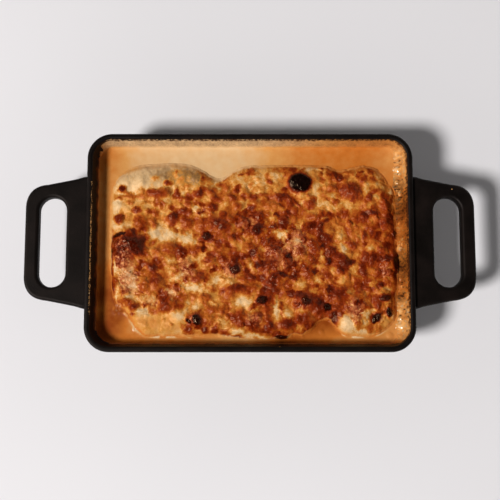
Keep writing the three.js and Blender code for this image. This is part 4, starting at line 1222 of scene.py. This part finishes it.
    def surface(self) -> np.ndarray:
        """The crust's surface without its skirt.

        Returns:
            A grid of points, column by column from the left, each from the near edge.
        """
        xs, near, far = self.outline()
        share = np.linspace(0, 1, self.rows)[None, :]
        x = np.repeat(xs[:, None], self.rows, 1)
        y = near[:, None] * (1 - share) + far[:, None] * share
        from_end = np.minimum(x - xs[0], xs[-1] - x)
        from_edge = np.minimum(from_end, np.minimum(y - near[:, None], far[:, None] - y))
        inward = 0.5 + 0.5 * smooth(from_edge, 0.0, self.calm_edge)
        third = self.shoulder_width / 3
        shoulder = self.shoulder * smooth(from_edge, 0.0, third)
        shoulder *= smooth(from_edge, self.shoulder_width, third)
        z = self.packed_height(x, y) + self.relief(x, y) * inward + shoulder
        lumps = ripples(x, y, 3.0, 3, 62)
        blister = self.blister_level + self.blister_rise * nearness(x, y, CHARRED[0], 0.0, 1.0)
        z += (blister + 0.4 * lumps - z) * nearness(x, y, CHARRED[0], 0.05 * lumps, 0.4)
        return np.stack([x, y, np.minimum(z, self.highest)], 2)

    def build(self, surface: np.ndarray, pool: "SaucePool") -> bpy.types.Object:
        """Makes the slab.

        Args:
            surface: The crust's surface.
            pool: The sauce that it lies in.

        Returns:
            The slab, in place of its CAD node.
        """
        x, y, z = np.moveaxis(surface, 2, 0)
        x, y, z, masks = self.with_skirt(x, y, z, self.masks(x, y, z, pool))
        count_x, count_y = x.shape
        top = np.stack([x, y, z], 2).reshape(-1, 3)
        faces = tube_faces(count_x, count_y, False, False)
        foot_start = len(top)
        foot = []
        for j in (0, count_y - 1):
            edge = np.stack([x[:, j], y[:, j]], 1)
            moved = (edge - (self.middle_x, 0)) * self.foot_scale + (self.middle_x, 0)
            foot.append(np.column_stack([moved, np.full(count_x, self.foot_level)]))
        points = np.concatenate([top, *foot])
        last = count_y - 1
        for i in range(count_x - 1):
            near_a, near_b = foot_start + i, foot_start + i + 1
            far_a, far_b = near_a + count_x, near_b + count_x
            faces.append([near_a, near_b, (i + 1) * count_y, i * count_y])
            faces.append([far_b, far_a, i * count_y + last, (i + 1) * count_y + last])
            faces.append([near_b, near_a, far_a, far_b])
        right = [(count_x - 1) * count_y + j for j in range(count_y)]
        faces.append([foot_start, *range(count_y), foot_start + count_x])
        faces.append([foot_start + 2 * count_x - 1, *right[::-1], foot_start + count_x - 1])
        pad = {which: np.concatenate([values.ravel(), np.zeros(2 * count_x)])
               for which, values in masks.items()}
        slab = new_piece("baked_lasagna", points, faces, BakedCheese().material(), pad)
        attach(slab, "root")
        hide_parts("lasagna")
        return slab

    def with_skirt(
        self, x: np.ndarray, y: np.ndarray, z: np.ndarray, masks: dict[Mask, np.ndarray]
    ) -> tuple[np.ndarray, np.ndarray, np.ndarray, dict[Mask, np.ndarray]]:
        """Runs the crust on past its edge and down under the sauce.

        Args:
            x: The grid's places along the dish.
            y: Its places across it.
            z: Its heights.
            masks: Its masks.

        Returns:
            The same four, with more rows and columns on every side.
        """
        steps = self.skirt_steps
        away = np.zeros((x.shape[0] + 2 * steps, x.shape[1] + 2 * steps))
        wide_x, wide_y, wide_z = (np.pad(grid, steps, mode="edge") for grid in (x, y, z))
        for k in range(steps):
            out = steps - k
            wide_x[k, :] -= out * self.skirt_width
            wide_x[-1 - k, :] += out * self.skirt_width
            wide_y[:, k] -= out * self.skirt_width
            wide_y[:, -1 - k] += out * self.skirt_width
            for edge in (away[k, :], away[-1 - k, :], away[:, k], away[:, -1 - k]):
                np.maximum(edge, out, out=edge)
        wide_z -= away * self.skirt_drop
        wide_masks = {which: np.pad(values, steps, mode="edge") for which, values in masks.items()}
        return wide_x, wide_y, wide_z, wide_masks


@dataclass(frozen=True)
class SaucePool:
    """The sauce round the slab: a level ring that climbs a little at the wall and at the slab."""

    level: float = 29.0
    meniscus: float = 0.8
    meniscus_width: float = 1.2
    slab_meniscus: float = 0.12
    slab_meniscus_width: float = 1.3
    lip_width: float = 1.5
    lip_break: float = 6.0
    swell: float = 0.15
    # How far the oil is lowered along the lips, which paints their highlight as a pale stroke
    painted_lip_highlight: float = 1.8
    into_wall: float = 0.5
    inner_inset: float = 27.0
    spacing: float = 0.6
    foot_level: float = 5.35
    heel_level: float = 11.0

    # Where the sauce climbs the slab in a lip, with a pale stroke painted along it as its highlight: x,
    # y, reach, height
    lips = (
        (-88, -48, 6, 0.42), (-79, -59, 7, 0.32), (-61, -65, 6, 0.6), (-47, -65, 6, 0.6),
        (70, -63, 8, 0.6), (88, -62, 5, 0.4),
    )

    # Bubbles that stand in the sauce: x, y, radius, height
    domes = ((96, -63.5, 2.6, 0.6), (49, -61, 2.0, 0.4), (36, -64, 1.6, 0.35))

    # How orange the sauce is at places round the slab, with some painted shade: x, y, reach, oil
    tints = (
        (-98, 60, 12, 0.75), (-80, 62, 18, 0.12), (-40, 60, 26, 0.05), (-48, 46, 5, 0.7),
        (-10, 60, 22, 0.08), (15, 60, 14, 0.4), (45, 60, 22, 0.6), (78, 61, 18, 0.66),
        # (100, 22) and (101, -5): deep oil that partly paints the slab's shadow on the right channel
        (98, 58, 10, 0.4), (99, 42, 10, 0.62), (100, 22, 10, 0.85), (101, -5, 22, 1.0),
        # (-96, -34) and (-95, -53): deep oil that partly paints the left wall's shade at the near left
        # corner
        (-103, 20, 30, 0.5), (-96, -34, 12, 1.0), (-104, -46, 5, 0.5), (-104, -25, 6, 0.55),
        (-95, -53, 9, 1.0), (-82, -58, 5, 0.45), (-80, -63, 9, 0.7), (-60, -66, 18, 0.6),
        # (30, -64): darker oil that partly paints the near wall's shadow
        (30, -64, 10, 1.05), (-10, -68, 26, 0.55), (-4, -64, 8, 0.1), (48, -58, 9, 1.05),
        (60, -59, 5, 0.95), (54, -54, 5, 1.1), (45, -57, 4, 1.15), (-16, -66, 5, 0.2),
        (60, -67, 7, 0.45), (45, -66, 16, 0.62), (95, -60, 18, 0.5), (85, -59, 4, 1.1),
    )

    def shoreline(self, surface: np.ndarray) -> np.ndarray:
        """Where the crust's surface dips under the level.

        Args:
            surface: The crust's surface.

        Returns:
            Places along the shore.
        """
        dry = surface[:, :, 2] > self.level
        shore = np.zeros_like(dry)
        shore[1:] |= dry[1:] != dry[:-1]
        shore[:, 1:] |= dry[:, 1:] != dry[:, :-1]
        shore[0] |= dry[0]
        shore[-1] |= dry[-1]
        shore[:, 0] |= dry[:, 0]
        shore[:, -1] |= dry[:, -1]
        return surface[shore][:, :2]

    def build(self, dish: CastIronDish, surface: np.ndarray) -> bpy.types.Object:
        """Pours the sauce.

        Args:
            dish: The dish that holds it.
            surface: The crust's surface, which it lies round.

        Returns:
            The sauce, in place of its CAD node.
        """
        wall = dish.wall_inset(self.level) + dish.wall
        count = int((self.inner_inset + self.into_wall) / self.spacing) + 1
        insets = np.linspace(-self.into_wall, self.inner_inset, count)
        shore = self.shoreline(surface)
        rings, lip_highlights = [], []
        for inset in insets:
            flat, _ = dish.ring(wall + inset, self.spacing)
            climb = self.meniscus * math.exp(-max(inset, 0) / self.meniscus_width)
            away = np.min(np.hypot(flat[:, None, 0] - shore[None, :, 0],
                                   flat[:, None, 1] - shore[None, :, 1]), axis=1)
            lip = sum(height * np.exp(-((flat[:, 0] - x) ** 2 + (flat[:, 1] - y) ** 2) / reach ** 2)
                      for x, y, reach, height in self.lips)
            broken = ripple(flat[:, 0], flat[:, 1], self.lip_break, 72)
            # A pale stroke painted along each lip stands for its highlight
            lip_highlights.append(lip * smooth(away, 1.3, 0.3) * smooth(broken, -0.2, 0.2))
            lip *= 1 + 0.6 * broken
            against = self.slab_meniscus * np.exp(-away / self.slab_meniscus_width)
            against += lip * np.clip(1 - away / self.lip_width, 0, 1)
            swell = self.swell * ripples(flat[:, 0], flat[:, 1], 9.0, 2, 71)
            for x, y, radius, height in self.domes:
                far_off = np.hypot(flat[:, 0] - x, flat[:, 1] - y) / radius
                against = np.maximum(against, height * (1 - far_off ** 2))
            rings.append(np.column_stack([flat, self.level + climb + against + swell]))
        under = (
            (wall + self.inner_inset, self.foot_level),
            (dish.wall_inset(self.foot_level) + dish.wall + dish.floor_fillet, self.foot_level),
            (dish.wall_inset(self.heel_level) + dish.wall - self.into_wall / 2, self.heel_level),
        )
        for inset, z in under:
            flat, _ = dish.ring(inset, self.spacing)
            rings.append(np.column_stack([flat, np.full(len(flat), z)]))
            lip_highlights.append(np.zeros(len(flat)))
        points = np.concatenate(rings)
        faces = [face[::-1] for face in tube_faces(len(rings), len(rings[0]), True, True)]
        # Lowering the oil along the lips paints their highlight
        oil = spread(points[:, 0], points[:, 1], self.tints) - self.painted_lip_highlight * np.concatenate(lip_highlights)
        pool = new_piece("cream_sauce_pool", points, faces, CreamSauce().material(),
                         {Mask.OIL: oil})
        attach(pool, "root")
        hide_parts("sauce")
        return pool


@dataclass(frozen=True)
class DriedRim:
    """Sauce that boiled up the walls and dried there: a film on the far wall, stains on the near
    and left ones, and a thick bubbled crust along the right one."""

    low: float = 28.0
    high: float = 41.2
    rows: int = 64
    crowding: float = 1.5
    spacing: float = 0.55
    into_wall: float = 0.5
    stretch: float = 0.6
    cloud: float = 6.0
    speck: float = 1.6
    bubble: float = 3.0
    spot: float = 1.5
    bank: float = 6.6
    bank_fall: float = 2.4
    fringe: float = 2.2

    # Larger bubbles in the crust along the right wall, painted paler partly as highlights: y, height,
    # radius
    froth = (
        (64, 31, 2.0), (52, 30.6, 2.6), (48.5, 32, 1.6), (43, 30.5, 1.8), (37, 30.4, 1.7),
        (35, 32, 2.4), (14, 31, 1.5), (-3, 31, 3.2), (-1, 33, 1.6), (-25, 31, 1.6), (-30, 32, 1.6),
        (-47, 31, 2.4), (-52, 30.5, 2.0), (-58, 31, 2.6),
    )

    # Scorched places at the foot of that crust: y, radius
    scorched = ((-15, 10.0), (-37, 4.0), (26, 9.0), (40, 5.0))

    def build(self, dish: CastIronDish, pool: SaucePool) -> bpy.types.Object:
        """Makes the film on the walls.

        Args:
            dish: The dish whose walls carry it.
            pool: The sauce that it rises from.

        Returns:
            The film.
        """
        share = np.linspace(0, 1, self.rows) ** self.crowding
        heights = self.low + (self.high - self.low) * share
        rings = [dish.ring(dish.wall_inset(z) + dish.wall, self.spacing) for z in heights]
        flat = np.stack([ring for ring, _ in rings])
        way = np.stack([out for _, out in rings])
        z = np.repeat(heights[:, None], flat.shape[1], 1)
        x, y = flat[..., 0], flat[..., 1]
        side = {wall: np.clip(way @ np.array(wall.value), 0, 1) ** 2 for wall in Wall}
        right, far = side[Wall.RIGHT], side[Wall.FAR]
        run = x * (far - side[Wall.NEAR]) + y * (right - side[Wall.LEFT])
        rise = self.stretch * z
        bare = side[Wall.NEAR] + side[Wall.LEFT]
        up = z - self.low
        cloud = ripples(run, rise, self.cloud, 4, 81)
        speck = ripples(run, rise, self.speck, 2, 83)
        first, _, number = Cells(self.bubble, 87).nearest(run, rise)
        bubble = number * np.clip(1 - (first / 0.7) ** 2, 0, 1) ** 1.5
        spot_first, _, spot_number = Cells(self.spot, 88).nearest(run, rise)
        spot = (spot_number > 0.6) * smooth(spot_first, 0.5, 0.2)

        cover = far * 0.5 + right * 0.6 + bare * (0.35 - 0.06 * up)
        cover += 0.3 * cloud + 0.35 * speck * smooth(up, 8, 12)
        top = self.high - 1.0 + 1.0 * ripples(x, y, 7.0, 3, 91)
        fringe = smooth(z, top - self.fringe, top - 0.3)
        cover -= 0.5 * fringe * (1 + speck)
        thick = 0.35 * np.clip(cover, -1, 1)
        bank = self.bank + 2.2 * ripples(run, rise, 7.0, 2, 81) + 1.2 * bubble
        thick += right * smooth(cover, -0.1, 0.2) * (
            bank * np.exp(-up / self.bank_fall) + 0.5 * bubble * np.exp(-up / 7))
        thick += far * (0.6 + 1.2 * cloud) * np.exp(-up / 1.6)
        froth = np.zeros_like(z)
        for froth_y, froth_z, radius in self.froth:
            away = np.hypot(y - froth_y, 2.2 * (z - froth_z)) / radius + 0.15 * speck
            froth = np.maximum(froth, right * np.clip(1 - away ** 2, 0, 1))
            thick += right * 0.6 * radius * np.clip(1 - away ** 2, 0, 1)
        thick[-1] = -0.2
        shell = np.concatenate([flat - way * thick[..., None], z[..., None]], 2)
        back = [np.column_stack([ring[0] + ring[1] * self.into_wall, np.full(len(ring[0]), level)])
                for ring, level in ((rings[-1], self.high), (rings[0], self.low))]
        points = np.concatenate([shell, np.stack(back)]).reshape(-1, 3)

        middle = np.exp(-(((y - 16) / 22) ** 2)) + 0.8 * np.exp(-(((y + 24) / 16) ** 2))
        oil = 0.5 * smooth(x, 0, 80) * far + right * (0.4 + 0.5 * middle) + 0.6 * bare
        oil += 0.25 * cloud * (right + bare)
        low = smooth(up, 5.0, 1.0) * (1 - 0.8 * right)
        oil += (spread(x, y, pool.tints) - oil) * low
        brown = 0.33 * far + bare * 0.4 + right * (0.1 + 0.15 * middle + 0.02 * up)
        for scorch_y, radius in self.scorched:
            away = np.hypot(y - scorch_y, z - 31) / radius + 0.5 * cloud
            brown += 0.5 * right * smooth(away, 1.6, 0.2)
        oil -= 0.35 * right * smooth(speck, 0.1, 0.5)
        brown += (0.2 + 0.25 * right) * speck + 0.3 * cloud
        brown += 0.5 * spot * right * smooth(cloud, -0.2, 0.2)
        brown += (side[Wall.LEFT] + 0.4 * side[Wall.NEAR]) * smooth(cover, 0.32, 0.02)
        # Each bubble is painted paler: partly its cream colour, partly a painted highlight
        brown -= 0.5 * froth
        oil -= 0.3 * froth
        brown = brown * (1 - low * (far + 0.5 * bare)) + 0.5 * fringe * (1 + speck)
        tail = np.zeros(2 * flat.shape[1])
        faces = tube_faces(self.rows + 2, flat.shape[1], True, True)
        film = new_piece("dried_sauce_film", points, faces, DriedSauce().material(), {
            Mask.OIL: np.concatenate([np.clip(oil, 0, 1).ravel(), tail]),
            Mask.BROWNING: np.concatenate([np.clip(brown, 0, 1).ravel(), tail])})
        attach(film, "root")
        return film


@dataclass(frozen=True)
class RimCrumbs:
    """Dried crumbs of sauce and cheese on the rim, most of them along the left side."""

    count: int = 260
    seed: int = 7
    sides: int = 7

    # Single crumbs on the rim and on one handle: x, y, z, size
    strays = (
        (68.0, 74.0, 41.6, 0.38), (139.0, 36.5, 39.1, 0.4), (-96.0, 71.4, 41.4, 0.3),
        (20.0, -71.3, 41.4, 0.3), (-60.0, 71.6, 41.3, 0.25),
    )

    def build(self, dish: CastIronDish) -> bpy.types.Object:
        """Scatters the crumbs.

        Args:
            dish: The dish whose rim they lie on.

        Returns:
            All the crumbs as one piece.
        """
        random = np.random.default_rng(self.seed)
        places = []
        for _ in range(self.count):
            inset = 2.9 + 1.1 * random.beta(2, 2)
            fall = dish.rim_round - math.sqrt(
                max(dish.rim_round ** 2 - (inset - dish.wall + dish.rim_round) ** 2, 0))
            places.append((inset - dish.half_length, random.triangular(-56, -6, 46),
                           dish.height - fall - 0.1, random.uniform(0.18, 0.42)))
        places += self.strays
        sides = self.sides
        turns = np.linspace(0, 2 * math.pi, sides, endpoint=False)
        shape = np.concatenate([
            [[0, 0, 1]],
            np.stack([np.cos(turns), np.sin(turns), np.full(sides, 0.35)], 1),
            np.stack([np.cos(turns + 0.4), np.sin(turns + 0.4), np.full(sides, -0.5)], 1),
            [[0, 0, -1]],
        ])
        corners = len(shape)
        upper = [(1 + k, 1 + (k + 1) % sides) for k in range(sides)]
        one = [[0, a, b] for a, b in upper]
        one += [[a, a + sides, b + sides, b] for a, b in upper]
        one += [[corners - 1, b + sides, a + sides] for a, b in upper]
        points, faces = [], []
        for x, y, z, size in places:
            lump = shape * size * random.uniform(0.7, 1.2, (corners, 1)) * (1, 1, 0.8)
            faces += [[k + len(points) * corners for k in face] for face in one]
            points.append(lump + (x, y, min(z, dish.height - size)))
        toast = np.repeat(random.uniform(0.0, 0.5, len(points)), corners)
        crumbs = new_piece("rim_crumbs", np.concatenate(points), faces, DriedSauce().material(), {
            Mask.OIL: np.full(len(toast), 0.3), Mask.BROWNING: toast})
        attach(crumbs, "root")
        return crumbs


@dataclass(frozen=True)
class Studio:
    """A pale table, a soft light from the left and front, and the camera over the dish."""

    tilt: float = 7.066
    distance: float = 585.1
    aim_y: float = -6.06
    aim_z: float = 42.0
    lens: float = 62.05
    light_way: tuple[float, float] = (-0.876, -0.482)
    light_elevation: float = 49.0
    light_distance: float = 4000.0
    light_size: float = 850.0
    light_watts: float = 180.0
    room: float = 0.85
    floor_half: float = 2500.0

    def camera(self) -> bpy.types.Object:
        """Sets the camera over the near side, looking down.

        Returns:
            The camera.
        """
        data = bpy.data.cameras.new("camera")
        data.lens = self.lens
        data.sensor_width = 36.0
        data.clip_start, data.clip_end = 0.01, 20.0
        camera = bpy.data.objects.new("camera", data)
        turn = math.radians(self.tilt)
        camera.location = (0.0, (self.aim_y - self.distance * math.sin(turn)) * MM,
                           (self.aim_z + self.distance * math.cos(turn)) * MM)
        camera.rotation_euler = (turn, 0.0, 0.0)
        bpy.context.scene.collection.objects.link(camera)
        bpy.context.scene.camera = camera
        return camera

    def floor(self) -> bpy.types.Object:
        """Lays the table that the dish stands on.

        Returns:
            The table's top.
        """
        half = self.floor_half
        points = np.array([[-half, -half, 0], [half, -half, 0], [half, half, 0], [-half, half, 0]])
        floor = new_piece("floor", points, [[0, 1, 2, 3]], PaintedFloor().material())
        return floor

    def lights(self) -> None:
        """Hangs the softbox and sets the room's own light."""
        rise = math.radians(self.light_elevation)
        way = Vector((self.light_way[0] * math.cos(rise), self.light_way[1] * math.cos(rise),
                      math.sin(rise)))
        data = bpy.data.lights.new("softbox", "AREA")
        data.shape = "DISK"
        data.size = self.light_size * MM
        data.energy = self.light_watts
        data.color = (1.0, 0.985, 0.965)
        softbox = bpy.data.objects.new("softbox", data)
        softbox.location = way * self.light_distance * MM
        softbox.rotation_euler = way.to_track_quat("Z", "Y").to_euler()
        bpy.context.scene.collection.objects.link(softbox)

        world = bpy.data.worlds.new("room")
        world.use_nodes = True
        tree = world.node_tree
        tree.nodes.clear()
        way = add(tree, "ShaderNodeTexCoord").outputs["Generated"]
        rise = add(tree, "ShaderNodeSeparateXYZ", inputs=(way,)).outputs[2]
        strength = add(tree, "ShaderNodeMapRange", inputs=(rise, 0.4, 0.6, self.room, 0.0))
        glow = add(tree, "ShaderNodeBackground", inputs={
            "Color": (1.0, 0.98, 0.96, 1.0), "Strength": strength.outputs[0]})
        add(tree, "ShaderNodeOutputWorld", inputs={"Surface": glow.outputs[0]})
        bpy.context.scene.world = world

    def build(self) -> None:
        """Sets up the whole studio."""
        bpy.context.scene.view_settings.view_transform = "Standard"
        self.camera()
        self.floor()
        self.lights()


def main() -> None:
    """Builds the studio and every piece of the dish and its contents."""
    logging.basicConfig(level=logging.INFO, format="%(message)s")
    Studio().build()
    dish = CastIronDish()
    slab = LasagnaSlab()
    pool = SaucePool()
    surface = slab.surface()
    pieces = [
        dish.build(), slab.build(surface, pool), pool.build(dish, surface),
        DriedRim().build(dish, pool), RimCrumbs().build(dish),
    ]
    for piece in pieces:
        log.info("%s: %d faces", piece.name, len(piece.data.polygons))


if __name__ == "__main__":
    main()
